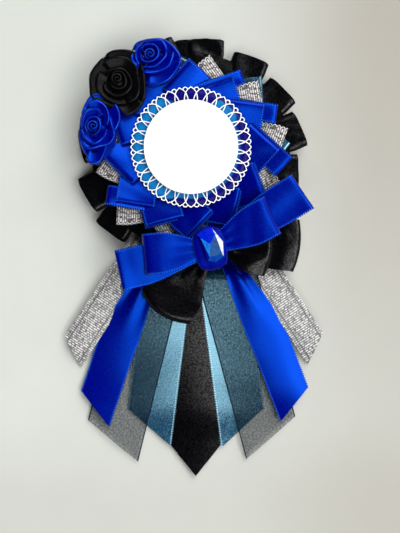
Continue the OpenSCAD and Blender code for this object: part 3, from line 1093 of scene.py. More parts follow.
@dataclass
class Tail:
    """One cut tail: where it leaves the knot, how it runs and how it is cut.

    Attributes:
        node: Name of its CAD node.
        layer: How many tails it lies on.
        start: Point where it starts.
        heading: Degrees from straight down, positive to the right.
        start_width: Width where it is pinched.
        bend: Distance to its bend.
        heading_after: Heading past the bend.
        width: Width of the ribbon.
        left: Length of its left edge.
        right: Length of its right edge.
        point: Length at a point in the middle, or 0.
        weave: How it is woven.
        crown: Height of its middle over its edges.
        lean: Height of its right edge over its left one.
        curl: How far its cut end lifts.
        falls: Where it drops to the floor, from y to y, or none.
        seed: Picks its small waves.
    """

    node: str
    layer: int
    start: tuple[float, float]
    heading: float
    start_width: float
    bend: float
    heading_after: float
    width: float
    left: float
    right: float
    point: float = 0.0
    weave: Weave = Weave.SATIN
    crown: float = 0.5
    lean: float = 0.0
    curl: float = 0.0
    falls: tuple[float, float] | None = None
    seed: int = 1

    LAYER_STEP: ClassVar[float] = 0.7
    REST: ClassVar[float] = 0.35
    # Half the length over which it bends
    BEND_HALF: ClassVar[float] = 14.0
    # Slope of the upper part, where it ends and where the tail has levelled out
    SLOPE: ClassVar[float] = 0.123
    SLOPE_END: ClassVar[float] = 40.0
    LEVEL: ClassVar[float] = 84.0
    # Where the cut end begins to lift, and its slope
    TIP: ClassVar[float] = 74.0
    TIP_SLOPE: ClassVar[float] = 0.065
    # Share of the rise that each layer past the fourth loses
    LESS_RISE: ClassVar[float] = 0.3
    # Height and number of the creases where the tail is pinched
    CREASE: ClassVar[float] = 1.6
    CREASES: ClassVar[float] = 1.6
    # The fan was measured 8 mm up and lies lower, so it is this much wider about the camera's axis
    SPREAD: ClassVar[float] = 1.012

    def centre_line(self) -> tuple[np.ndarray, np.ndarray, np.ndarray]:
        """Distance, points and headings down the middle, with the bend rounded."""
        pace = 0.5
        s = np.arange(-10, 140, pace)
        turn = self.heading_after - self.heading
        bent = smooth(s, self.bend - self.BEND_HALF, self.bend + self.BEND_HALF)
        heading = np.radians(self.heading + turn * bent)
        step = np.stack([np.sin(heading), -np.cos(heading)], axis=1) * pace
        points = np.cumsum(step, axis=0)
        points += np.array(self.start) - points[np.argmin(np.abs(s))]
        return s, points, heading

    def place(self, s: np.ndarray, t: np.ndarray) -> np.ndarray:
        """Points of the tail."""
        at, line, heading = self.centre_line()
        x, y = np.interp(s, at, line[:, 0]), np.interp(s, at, line[:, 1])
        turn = np.interp(s, at, heading)
        pinch = 1 - self.start_width / self.width
        grown = 1 - pinch * (1 - smooth(s, -4, self.bend + 3))
        side = t * grown
        x = x + np.cos(turn) * side
        y = y + np.sin(turn) * side
        share = 2 * t / self.width
        z = self.lie(s, share, -y)
        z = z + self.CREASE * (1 - grown) * np.cos(2 * self.CREASES * math.pi * share / 2)
        z = z + ripple(self.seed, s, t, 0.12, 34)
        x = AXIS[0] + (x - AXIS[0]) * self.SPREAD
        y = AXIS[1] + (y - AXIS[1]) * self.SPREAD
        return np.stack([x, y, z], axis=-1)

    def lie(self, s: np.ndarray, share: np.ndarray, down: np.ndarray) -> np.ndarray:
        """Height of the tail before its creases and waves.

        Args:
            s: Distance along it.
            share: Distance across it, from -1 to 1.
            down: Distance below the frame's middle.

        Returns:
            Height at each point.
        """
        low = self.layer * self.LAYER_STEP + self.REST
        z = np.full(down.shape, low)
        if self.falls:
            z = self.REST + (low - self.REST) * (1 - smooth(down, -self.falls[0], -self.falls[1]))
        z = z + (1 - self.LESS_RISE * max(0, self.layer - 3)) * self.rise(down)
        z = z + self.TIP_SLOPE * np.maximum(0, down - self.TIP) * smooth(down, self.TIP, self.TIP + 18)
        z = z + self.curl * smooth(s, self.left - 24, self.left + 6) ** 2
        z = z + self.crown * (1 - share**2) * (0.35 + 0.65 * smooth(s, 10, 40))
        return z + self.lean * share / 2 * smooth(s, 10, 50)

    def rise(self, down: np.ndarray) -> np.ndarray:
        """Height over the lie of its lower part, at each distance below the frame's middle."""
        eased = np.clip(self.LEVEL - down, 0, self.LEVEL - self.SLOPE_END) ** 2
        eased = eased / (2 * (self.LEVEL - self.SLOPE_END))
        straight = np.clip(self.SLOPE_END - down, 0, self.SLOPE_END - 12)
        return self.SLOPE * (eased + straight) * smooth(down, 1.5, 10.5)

    def cut(self, t: np.ndarray) -> np.ndarray:
        """Length of the tail at each distance across."""
        share = t / self.width + 0.5
        if self.point:
            return self.left + (self.point - self.left) * (1 - np.abs(2 * share - 1))
        return self.left + (self.right - self.left) * share

    def ribbon(self) -> Ribbon:
        """The tail's ribbon."""
        length = max(self.left, self.right, self.point)
        return Ribbon(self.width, length, self.place, self.weave, self.cut)


@dataclass
class Tails:
    """The fan of nine cut tails.

    Attributes:
        rows: The tails, from the one that lies lowest.
    """

    rows: list[Tail] = field(
        default_factory=lambda: [
            Tail("black_tail", 0, (0.9, 6), 0, 25, 50, 0, 25, 101, 101, 116.3,
                 weave=Weave.PLAIN_EDGE, seed=3),
            Tail("light_blue_tail_left", 1, (-11.5, 0), -7.2, 23.4, 40, -7.2, 23.4, 79.2, 94.5,
                 crown=0.12, lean=0.45, seed=4),
            Tail("light_blue_tail_right", 1, (13.1, 0), 7.5, 23.4, 40, 7.5, 23.4, 95.4, 78.9,
                 crown=-0.3, lean=0.4, seed=5),
            Tail("organza_tail_left", 2, (-17.5, 0), -13.9, 29.4, 40, -13.9, 29.4, 88.5, 102.8,
                 weave=Weave.ORGANZA, falls=(-94, -103), seed=6),
            Tail("organza_tail_right", 2, (13.8, 0), 15.1, 29.4, 40, 15.1, 29.4, 101.7, 87.5,
                 weave=Weave.ORGANZA, falls=(-94, -103), seed=7),
            Tail("blue_tail_left", 3, (-14.5, 8), -24.8, 6, 55.2, -18.5, 18.8, 85.4, 97.7,
                 crown=0.4, lean=1.0, curl=1.5, seed=8),
            Tail("blue_tail_right", 3, (11.5, 8), 28.1, 6, 53, 21, 18.8, 96.5, 85.8,
                 crown=1.2, lean=-1.2, curl=1.5, seed=9),
            Tail("silver_tail_left", 4, (-23, 8), -33.5, 15, 30, -33.5, 15, 63, 72,
                 weave=Weave.METALLIC, falls=(-44, -58), seed=10),
            Tail("silver_tail_right", 4, (24.5, 8), 33.5, 15, 30, 33.5, 15, 70.2, 60.7,
                 weave=Weave.METALLIC, falls=(-44, -58), seed=11),
        ]
    )

    def build(self, palette: Palette) -> None:
        """Build and dress the tails."""
        for row in self.rows:
            look = self.look(row, palette)
            ribbon = row.ribbon()
            mesh = PieceMesh(f"{row.node}_cloth")
            ribbon.weave_into(mesh)
            piece = mesh.build([look.material])
            replace(piece, row.node)
            ribbon.area() * MM * MM

    @staticmethod
    def look(row: Tail, palette: Palette) -> Look:
        """Look of a tail."""
        looks = {
            "black": palette.black,
            "light": palette.light,
            "organza": palette.organza,
            "blue": palette.royal,
            "silver": palette.hemmed_and_lit,
        }
        return looks[row.node.split("_")[0]]


def loop_side(length: float, height: float, root: float, belly: float = 0.0, nose: float = 0.0) -> Curve:
    """Side view of a loop, from the top of its root round its end at 0 to the root's underside.

    Args:
        length: Length from root to end.
        height: Height near the end.
        root: Height at the root.
        belly: How much the top swells in the middle.
        nose: Length over which its end is rounded, or 0 for a sharp fold.

    Returns:
        Curve of distance from the end and height.
    """
    middle = (root + height) / 2 + belly
    round_end = nose or min(0.5 * height, 0.12 * length)
    return Curve(
        [
            (-length, root),
            (-0.55 * length, middle),
            (-round_end - 0.12 * length, height),
            (-0.45 * round_end, 0.88 * height),
            (0, 0.5 * height),
            (-0.45 * round_end, 0.12 * height),
            (-round_end - 0.12 * length, 0),
            (-0.55 * length, 0.04 * height),
            (-length, 0.1 * root),
        ]
    )


@dataclass
class Loop:
    """A ribbon loop whose folded end points along its own +x, with that end at 0.

    Attributes:
        pose: Where the end lies.
        length: Length from root to end.
        width: Width of the ribbon.
        height: Height near the end.
        root_height: Height at the root.
        root_width: Width of the gathered root.
        side: Distance of the ribbon's middle from its own x axis.
        weave: How it is woven.
        belly: How much its top swells.
        gather: Depth of the gathers at the root.
        slant: How much further its left edge reaches than its right one.
        bulge: How much further the middle of its end reaches than its edges.
        nose: Length over which its end is rounded, or 0 for a sharp fold.
        wave: Height of the small waves in the cloth.
        seed: Picks the waves.
    """

    pose: Pose
    length: float
    width: float
    height: float
    root_height: float
    root_width: float
    side: float = 0.0
    weave: Weave = Weave.SATIN
    belly: float = 0.0
    gather: float = 0.0
    slant: float = 0.0
    bulge: float = 0.0
    nose: float = 0.0
    wave: float = 0.12
    seed: int = 1

    # Gathers across the root
    GATHERS: ClassVar[float] = 3.0

    def ribbon(self) -> Ribbon:
        """The loop's ribbon."""
        profile = loop_side(self.length, self.height, self.root_height, self.belly, self.nose)

        def place(s: np.ndarray, t: np.ndarray) -> np.ndarray:
            flat = profile.at(s)
            u, z = flat[..., 0], flat[..., 1]
            share = 2 * t / self.width
            spread = smooth(u, -self.length, -0.25 * self.length)
            grown = 1 - (1 - self.root_width / self.width) * (1 - spread)
            y = self.side + t * grown
            swell = (1 - spread) * self.gather
            z = z + swell * np.cos(self.GATHERS * math.pi * share)
            z = z + ripple(self.seed, u, t, self.wave, 14)
            outer = smooth(u, -0.8 * self.length, 0)
            u = u + outer * (self.slant * share / 2 - self.bulge * share**2)
            return self.pose.apply(np.stack([u, y, z], axis=-1))

        return Ribbon(self.width, profile.length, place, self.weave)


def pose_of_end(
    root: tuple[float, float], z: float, aim: float, length: float, tilt: float = 0.0, pitch: float = 0.0
) -> Pose:
    """Pose of a loop's end, from its root, direction and length."""
    reach = direction(aim) * length
    return Pose(root[0] + reach[0], root[1] + reach[1], z, aim, tilt, pitch)


@dataclass
class Backing:
    """The felt back with its steel pin, which keep their CAD shapes, and the card of the ring.

    Attributes:
        card_r: Radius of the card.
        card_z: Height of the card's middle.
        card_t: Thickness of the card.
    """

    card_r: float = 49.0
    card_z: float = 6.2
    card_t: float = 0.4

    # Points round the card, rings of points in it and radius of the innermost
    SIDES: ClassVar[int] = 120
    RINGS: ClassVar[int] = 24
    INNER_R: ClassVar[float] = 1.0

    def build(self, palette: Palette, frame: dict) -> None:
        """Dress the CAD nodes and make the card."""
        for name, look in (("backing_disc", palette.felt), ("brooch_pin", palette.steel)):
            mesh = frame["nodes"][name].data
            mesh.materials.clear()
            mesh.materials.append(look.material)
            LOG.info("%s: dressed", name)
        angle = np.linspace(0, 2 * math.pi, self.SIDES, endpoint=False)[:, None]
        radius = np.linspace(self.INNER_R, self.card_r, self.RINGS)[None, :]
        x, y = radius * np.cos(angle), radius * np.sin(angle)
        middle = np.stack([x + CENTRE[0], y + CENTRE[1], np.full(x.shape, self.card_z)], axis=-1)
        mesh = PieceMesh("ring_card")
        mesh.slab(middle, np.zeros(middle.shape), self.card_t, ring=True)
        piece = mesh.build([palette.felt.material])
        replace(piece, "black_ruffle")


@dataclass(frozen=True)
class Pleat:
    """One black box pleat.

    Attributes:
        angle: Degrees round the ring to the middle of its outer edge.
        radius: Distance of that middle from the ring's.
        turn: Degrees that it is turned on the spot.
        width: Length of its outer edge.
        z: Height of its underside.
        height: Its height.
    """

    angle: float
    radius: float
    turn: float
    width: float = 18.0
    z: float = 6.5
    height: float = 2.5


@dataclass
class BlackRuffle:
    """The outer ring of black satin box pleats and the flat ribbon stitched over their roots.

    Attributes:
        ribbon_width: Width of the pleats' ribbon.
        inner_share: Width of a pleat's root as a share of its outer edge.
        over_z: Height of the flat ribbon.
        over_r: Radius of its outer edge.
        over_width: Its width.
        pleats: The pleats.
    """

    ribbon_width: float = 25.0
    inner_share: float = 0.5
    over_z: float = 9.5
    over_r: float = 49.5
    over_width: float = 19.0
    pleats: tuple[Pleat, ...] = (
        Pleat(109.5, 54.5, 13.5),
        Pleat(89, 54.4, 3, 18.8, 6.4, 1.2),
        Pleat(82, 54.8, 8, 18, 7.9, 1.3),
        Pleat(56, 54.9, 12.5, 18.3),
        Pleat(32, 55.2, 12.9, 17.8),
        Pleat(10.1, 56.4, 14.6, 18.4),
        Pleat(-13.1, 55.6, 13.1, 18),
        Pleat(-36, 55, 13, 18),
        Pleat(-59, 55, 13, 18),
        Pleat(-82, 55, 13, 18),
        Pleat(-107, 55, 13, 18),
        Pleat(-133.5, 59.2, 8, 18.2),
        Pleat(-154.8, 58.3, 5.4, 19),
        Pleat(179.8, 55.5, 12.8, 17.4),
        Pleat(157, 54, 12),
        Pleat(133, 54, 12),
    )

    def build(self, palette: Palette) -> None:
        """Build and dress the ring."""
        ribbons = [self.pleat_ribbon(pleat, seed) for seed, pleat in enumerate(self.pleats)]
        ribbons.append(self.over_ribbon())
        make_cloth("black_ruffle_cloth", ribbons, palette.black, "black_ruffle")

    def pleat_ribbon(self, pleat: Pleat, seed: int) -> Ribbon:
        """Ribbon of one pleat, folded flat into a closed loop whose selvages face outwards."""
        half, high = pleat.width / 2, pleat.height
        low_in = half - 1.2
        profile = Curve(
            [
                (-low_in, high), (-half * 0.3, high * 1.06), (half * 0.4, high * 1.02), (low_in, high * 0.92),
                (half, high * 0.5), (low_in, 0.04 * high), (0, 0), (-low_in, 0), (-half, high * 0.45),
            ],
            closed=True,
        )
        at = direction(pleat.angle) * pleat.radius
        heading = pleat.angle - 90 + pleat.turn
        pose = Pose(RING_CENTRE[0] + at[0], RING_CENTRE[1] + at[1], pleat.z, heading)

        def place(s: np.ndarray, t: np.ndarray) -> np.ndarray:
            flat = profile.at(s)
            u, z = flat[..., 0], flat[..., 1]
            y = t - self.ribbon_width / 2
            inward = -y / self.ribbon_width
            upper = z / high
            u = u * (1 - (1 - self.inner_share) * smooth(inward, 0.2, 1))
            y = y - 0.9 * upper - 0.3 * (u / half) ** 2 - 0.5 * (u / half) ** 8
            y = y + ripple(seed + 40, s, t * 0.2, 0.35, 16)
            z = z + ripple(seed, u, t, 0.35, 12) * smooth(upper, 0, 1)
            return pose.apply(np.stack([u, y, z], axis=-1))

        return Ribbon(self.ribbon_width, profile.length, place, Weave.PLAIN_EDGE, ring=True)

    def over_ribbon(self) -> Ribbon:
        """Ribbon that runs round over the pleats' roots."""
        length = 2 * math.pi * self.over_r

        def place(s: np.ndarray, t: np.ndarray) -> np.ndarray:
            angle = s / self.over_r
            radius = self.over_r - self.over_width / 2 + t
            x, y = radius * np.cos(angle), radius * np.sin(angle)
            z = self.over_z - 0.3 * smooth(t, 0, self.over_width / 2) + ripple(77, s, t, 0.08, 13)
            return np.stack([x + CENTRE[0], y + CENTRE[1], z], axis=-1)

        return Ribbon(self.over_width, length, place, Weave.PLAIN_EDGE, ring=True)


@dataclass
class LightBlueRing:
    """Light blue satin loops with sheer black ribbon over them.

    Attributes:
        width: Width of the light blue ribbon.
        sheer_width: Width of the sheer ribbon that shows.
        length: Length of a loop.
        height: Height of a loop.
        z: Height of its underside.
        sheer_z: Height of the sheer ribbon.
        sheer_back: How far it is set back from a loop's end.
        sheer_cut: How much of its corner is cut off.
        corner_r: Distance of a loop's corner from the ring's middle.
        first: Degrees round to the first loop.
        step: Degrees from one loop to the next.
        count: Number of loops.
        aim: Degrees from a loop's place round the ring to the way that it points.
    """

    width: float = 23.4
    sheer_width: float = 25.0
    length: float = 22.0
    height: float = 0.45
    z: float = 9.85
    sheer_z: float = 10.5
    sheer_back: float = 0.6
    sheer_cut: float = 6.5
    corner_r: float = 49.4
    first: float = 44.8
    step: float = -43.0
    count: int = 8
    aim: float = -40.0

    def build(self, palette: Palette) -> None:
        """Build and dress the two layers of loops."""
        blue, sheer = [], []
        for i in range(self.count):
            angle = self.first + i * self.step
            at = direction(angle) * self.corner_r
            pose = Pose(RING_CENTRE[0] + at[0], RING_CENTRE[1] + at[1], self.z, angle + self.aim)
            loop = Loop(
                pose, self.length, self.width, self.height, self.height, self.width - 4,
                side=-self.width / 2, weave=Weave.PLAIN_EDGE, wave=0.06, seed=20 + i,
            )
            blue.append(loop.ribbon())
            sheer.append(self.sheer_ribbon(pose, 30 + i))
        make_cloth("light_blue_loops", blue, palette.light, "light_blue_ring")
        make_cloth("organza_loops", sheer, palette.organza, "light_blue_ring")

    def sheer_ribbon(self, pose: Pose, seed: int) -> Ribbon:
        """Sheer ribbon laid over one loop, set back from its end."""
        length = self.length - self.sheer_back

        def place(s: np.ndarray, t: np.ndarray) -> np.ndarray:
            bulge = 1.6 * (1 - (2 * t / self.sheer_width) ** 2)
            u = s - self.length + bulge * smooth(s, length - 8, length)
            y = t - self.width / 2
            z = self.sheer_z - self.z - 0.15 * smooth(s, length - 2, length)
            z = z + ripple(seed, u, t, 0.05, 12)
            return pose.apply(np.stack([u, y, z], axis=-1))

        def cut(t: np.ndarray) -> np.ndarray:
            return length - np.maximum(0, t - self.sheer_width / 2 + self.sheer_cut)

        return Ribbon(self.sheer_width, length, place, Weave.ORGANZA, cut)


@dataclass(frozen=True)
class Corner:
    """A corner of a loop or pleat, from the rosette centre, and the way the loop points."""

    x: float
    y: float
    aim: float

    def pose(self, low: float, across: float, tilt: float) -> Pose:
        """Pose of the corner, raised so that the other edge is at the low height.

        Args:
            low: Height of the other edge.
            across: Distance between the edges.
            tilt: Degrees of the slope from one to the other.

        Returns:
            The pose.
        """
        high = low + across * math.sin(math.radians(tilt))
        return Pose(CENTRE[0] + self.x, CENTRE[1] + self.y, high, self.aim, tilt)


@dataclass
class SilverLoops:
    """The ring of silver ribbon loops.

    Attributes:
        width: Width of the ribbon.
        length: Length of a loop.
        height: Height of a loop.
        z: Height of a loop's low edge.
        tilt: Degrees of its slope from edge to edge.
        corners: The loops' corners.
    """

    width: float = 15.0
    length: float = 15.5
    height: float = 2.2
    z: float = 11.2
    tilt: float = 5.0
    corners: tuple[Corner, ...] = (
        Corner(9.2, 47.5, 36), Corner(33.2, 34.8, 11), Corner(48.1, 11.2, -20),
        Corner(44.3, -15, -57), Corner(32.4, -35, -85), Corner(12.3, -47.8, -114),
        Corner(-13, -46.5, -150), Corner(-36.8, -36.5, -182), Corner(-47, -10.7, -212.4),
        Corner(-45.7, 13.1, -240.5), Corner(-33.8, 33.4, -268), Corner(-13.5, 45.5, -295.5),
    )

    def build(self, palette: Palette) -> None:
        """Build and dress each loop."""
        for i, corner in enumerate(self.corners, 1):
            loop = Loop(
                corner.pose(self.z, self.width, self.tilt), self.length, self.width, self.height,
                self.height, self.width - 3, side=-self.width / 2, weave=Weave.METALLIC, belly=0.1,
                seed=50 + i,
            )
            node = f"silver_loop_{i}"
            make_cloth(f"{node}_cloth", [loop.ribbon()], palette.silver, node)


@dataclass(frozen=True)
class BluePleat(Corner):
    """A blue pleat: its corner, and its back layer's reach, width and step sideways."""

    back: float = 5.0
    back_width: float = 9.0
    back_side: float = 0.3


@dataclass
class BluePleats:
    """The inner ring of royal blue pleats, each a back loop and a front panel over it.

    Attributes:
        width: Width of the ribbon, which is the length of a front panel's fold.
        reach: How far a front panel reaches back from its fold.
        z: Height of a pleat's low side.
        tilt: Degrees of its slope.
        back_height: Height of the back layer's loop.
        nose: Length over which that loop's end is rounded.
        dip: How far its side under the fold hangs down.
        front_z: Height of the front panel over the back layer.
        front: Side view of the front panel, from its root to the fold at 0 and back under it.
        corners: The pleats.
    """

    width: float = 18.5
    reach: float = 17.0
    z: float = 14.43
    tilt: float = 16.5
    back_height: float = 1.5
    nose: float = 1.9
    dip: float = 1.4
    front_z: float = 1.0
    front: tuple[tuple[float, float], ...] = (
        (-17, 0.7), (-12, 0.95), (-7, 1.0), (-3, 0.8), (-1.1, 0.5), (-0.3, 0), (0, -0.5),
        (-0.5, -0.9), (-3, -0.6), (-8, 0), (-17, 0),
    )
    corners: tuple[BluePleat, ...] = (
        BluePleat(-0.9, 43.6, 49, 1, 15), BluePleat(20.2, 35.6, 19, 5, 6.5, 1.6),
        BluePleat(35.9, 22.3, -8, 6.8, 8.4), BluePleat(43.3, 0.1, -42, 7.4, 11.6, 1),
        BluePleat(36.8, -23.8, -70, 6.5), BluePleat(20.6, -37.5, -101.5, 9.5, 13),
        BluePleat(-1.9, -43.8, -133, 1), BluePleat(-21.3, -37.8, -164.5, 1),
        BluePleat(-36.3, -25.6, -188.5, 5.2, 9, 1.6), BluePleat(-41.9, -3.8, -224),
        BluePleat(-39.5, 20, -251), BluePleat(-24, 36, -281),
    )

    def build(self, palette: Palette) -> None:
        """Build and dress each pleat."""
        for i, corner in enumerate(self.corners, 1):
            pose = corner.pose(self.z, self.reach, self.tilt)
            ribbons = [self.back_ribbon(pose, corner, i), self.front_ribbon(pose, i)]
            node = f"blue_pleat_{i}"
            make_cloth(f"{node}_cloth", ribbons, palette.royal, node)

    def back_ribbon(self, pose: Pose, corner: BluePleat, seed: int) -> Ribbon:
        """The longer layer behind, folded at its outer end.

        Args:
            pose: Where the pleat lies.
            corner: The pleat.
            seed: Picks its small waves.

        Returns:
            The ribbon.
        """
        width = corner.back_width
        inner = Loop(
            Pose(corner.back, corner.back_side, 0), self.width + corner.back, width, self.back_height, 0.6,
            width, side=-width / 2, nose=self.nose, wave=0.05, seed=seed,
        ).ribbon()

        def place(s: np.ndarray, t: np.ndarray) -> np.ndarray:
            points = inner.place(s, t)
            points[..., 2] -= self.dip * smooth(points[..., 1], -9, 0) + 0.2
            return pose.apply(points)

        return Ribbon(inner.width, inner.length, place)

    def front_ribbon(self, pose: Pose, seed: int) -> Ribbon:
        """The panel in front, folded along its raised side."""
        profile = Curve(self.front)

        def place(s: np.ndarray, t: np.ndarray) -> np.ndarray:
            flat = profile.at(s)
            y, z = flat[..., 0], flat[..., 1]
            z = self.front_z + z + ripple(seed + 60, y, t, 0.25, 14)
            return pose.apply(np.stack([t - self.width / 2, y, z], axis=-1))

        return Ribbon(self.width, profile.length, place)


@dataclass
class Badge:
    """The round badge: glossy shell, pierced border and bare white face.

    Attributes:
        shell_r: Radius of the shell.
        shell_z: Height of its underside.
        shell_h: Its thickness.
        face_r: Radius of the face.
        face_z: Height of its underside.
        face_h: Its thickness.
        lace_r: Radius of the border.
        lace_z: Height that its bars bulge up from.
        lace_count: Arches in the border.
        bar_width: Width of a bar.
        bar_height: Twice a bar's thickness.
        arch: An arch, as shares of a repeat and of the border's radius.
        picot: The small loop between two arches, in the same way.
        light_part: Degrees round the shell and the radius up to which it is light blue there.
    """

    shell_r: float = 28.6
    shell_z: float = 19.72
    shell_h: float = 2.1
    face_r: float = 22.8
    face_z: float = 23.06
    face_h: float = 1.5
    lace_r: float = 29.45
    lace_z: float = 22.42
    lace_count: int = 32
    bar_width: float = 0.3
    bar_height: float = 0.5
    arch: tuple[tuple[float, float], ...] = (
        (-0.74, 0.765), (-0.64, 0.835), (-0.5, 0.9), (-0.3, 0.95), (-0.13, 0.974), (0, 0.991),
        (0.13, 0.974), (0.3, 0.95), (0.5, 0.9), (0.64, 0.835), (0.74, 0.765),
    )
    picot: tuple[tuple[float, float], ...] = (
        (0.28, 0.955), (0.36, 0.98), (0.5, 0.991), (0.64, 0.98), (0.72, 0.955),
    )
    light_part: tuple[tuple[float, float], ...] = (
        (0, 24.1), (25, 24.1), (36, 27), (58, 27), (66, 22), (110, 22), (124, 30), (235, 30), (255, 25.1),
        (285, 24.7), (300, 23.9), (345, 23.9), (360, 24.1),
    )

    MIDDLE: ClassVar[tuple[float, float]] = (-1.35, 52.3)
    # Radius of the pinhole in the middle of a turned form, and points round it
    HOLE_R: ClassVar[float] = 0.01
    SIDES: ClassVar[int] = 160
    # How far the middle of a bar bulges up
    BAR_ROUND: ClassVar[float] = 0.22

    def build(self, palette: Palette) -> None:
        """Build and dress the badge."""
        r, h = self.shell_r, self.shell_h
        outline = [(r - 0.6, 0), (r, 0.7), (r - 0.3, 1.4), (r - 1.6, 2.0), (r - 4.0, h)]
        self.turned("badge_shell_form", outline, self.shell_z, palette.shell, "badge_shell")
        lace = PieceMesh("lace_border_form")
        for k in range(self.lace_count):
            self.bar(lace, self.arch, k)
            self.bar(lace, self.picot, k)
        replace(lace.build([palette.lace.material]), "lace_border")
        r, h = self.face_r, self.face_h
        outline = [(r - 0.15, 0), (r, 0.15), (r, 1.3), (r - 0.15, 1.46), (r - 0.5, h)]
        self.turned("badge_face_form", outline, self.face_z, palette.face, "badge_face")

    def turned(
        self, name: str, outline: Sequence[tuple[float, float]], z: float, look: Look, node: str
    ) -> None:
        """Make a flat form by turning an outline of radius and height about the badge's axis.

        Args:
            name: Name of the piece.
            outline: Points of the rim, from the underside to the top.
            z: Height of its underside.
            look: Its look.
            node: CAD node that it stands for.
        """
        flat = Curve([(self.HOLE_R, 0), *outline, (self.HOLE_R, outline[-1][1])], fine=8).line
        angle = np.linspace(0, 2 * math.pi, self.SIDES, endpoint=False)[:, None]
        x, y = flat[None, :, 0] * np.cos(angle), flat[None, :, 0] * np.sin(angle)
        radius = np.broadcast_to(flat[None, :, 0], x.shape)
        height = np.broadcast_to(flat[None, :, 1], x.shape)
        points = np.stack([x + self.MIDDLE[0], y + self.MIDDLE[1], height + z], axis=-1)
        turns, reaches = zip(*self.light_part)
        light = smooth(np.interp(np.degrees(angle), turns, reaches) - radius, -0.5, 0.5)
        cloth = np.stack([light, radius, height], axis=-1)
        mesh = PieceMesh(name)
        mesh.add(points.reshape(-1, 3), quads(number_grid(points, ring=True)), cloth.reshape(-1, 3))
        replace(mesh.build([look.material]), node)

    def bar(self, mesh: PieceMesh, shape: Sequence[tuple[float, float]], k: int) -> None:
        """Add one curved bar of the border.

        Args:
            mesh: Mesh that takes the bar.
            shape: Points along it as share of a repeat and share of the border's radius.
            k: Number of the repeat.
        """
        pitch = 2 * math.pi / self.lace_count
        points = [
            (self.lace_r * r * math.cos((k + a) * pitch), self.lace_r * r * math.sin((k + a) * pitch))
            for a, r in shape
        ]
        line = Curve(points, fine=5).line
        along = np.gradient(line, axis=0)
        along /= np.linalg.norm(along, axis=1, keepdims=True)
        side = np.stack([-along[:, 1], along[:, 0]], axis=1)
        share = np.linspace(-1, 1, 5)
        flat = line[:, None, :] + side[:, None, :] * share[None, :, None] * self.bar_width / 2
        rounded = self.BAR_ROUND * np.sqrt(1 - 0.9 * share**2)
        z = self.lace_z + rounded[None, :] * np.ones((len(line), 1))
        middle = np.stack([flat[..., 0] + self.MIDDLE[0], flat[..., 1] + self.MIDDLE[1], z], axis=-1)
        mesh.slab(middle, np.zeros(middle.shape), self.bar_height / 2)


@dataclass(frozen=True)
class Petal:
    """One petal: its folded rim seen from above, from the rose's eye, and how the wall falls.

    Attributes:
        rim: Points of the rim.
        top: Height of the rim over the rose's seat.
        spread: How far the wall slopes in towards the eye.
        fall: How far it falls on the way.
        droop: How far its outside hangs down.
    """

    rim: tuple[tuple[float, float], ...]
    top: float
    spread: float = 3.0
    fall: float = 3.5
    droop: float = 2.0

    # How far the cloth rolls out over the rim
    ROLL: ClassVar[float] = 0.35
    # Over its last stretch at each end, the rim sinks and draws in by a share
    END: ClassVar[float] = 2.6
    TUCK: ClassVar[float] = 1.6
    DRAW: ClassVar[float] = 0.05

    def ribbon(self, eye: tuple[float, float, float]) -> Ribbon:
        """The petal's ribbon, folded over its rim.

        Args:
            eye: Place of the rose's eye, at the height of its seat.

        Returns:
            The ribbon, which runs along the rim.
        """
        line = Curve(self.rim)
        side = Curve([
            (-self.spread, -self.fall), (-0.6 * self.spread, -0.6 * self.fall),
            (-0.25 * self.spread, -0.2 * self.fall), (-0.1, 0), (self.ROLL, -0.3),
            (1.3 * self.ROLL, -self.droop),
        ])
        width = side.length
        # Where the rim's painted highlight line runs across the ribbon
        painted_highlight_at = float(side.along[np.argmin(np.abs(side.line[:, 0]))]) - width / 2

        def place(s: np.ndarray, t: np.ndarray) -> np.ndarray:
            rim = line.at(s)
            out = rim / np.maximum(np.linalg.norm(rim, axis=-1, keepdims=True), 1e-6)
            flat = side.at(t + width / 2)
            end = 1 - smooth(s, 0, self.END) * (1 - smooth(s, line.length - self.END, line.length))
            point = rim * (1 - self.DRAW * end)[..., None] + out * flat[..., :1]
            z = self.top + flat[..., 1] - self.TUCK * end
            x = point[..., 0] + CENTRE[0] + eye[0]
            y = point[..., 1] + CENTRE[1] + eye[1]
            return np.stack([x, y, z + eye[2]], axis=-1)

        return Ribbon(
            width, line.length, place, Weave.PLAIN_EDGE, row_step=0.5, column_step=0.35, thickness=0.3,
            rim=painted_highlight_at,
        )


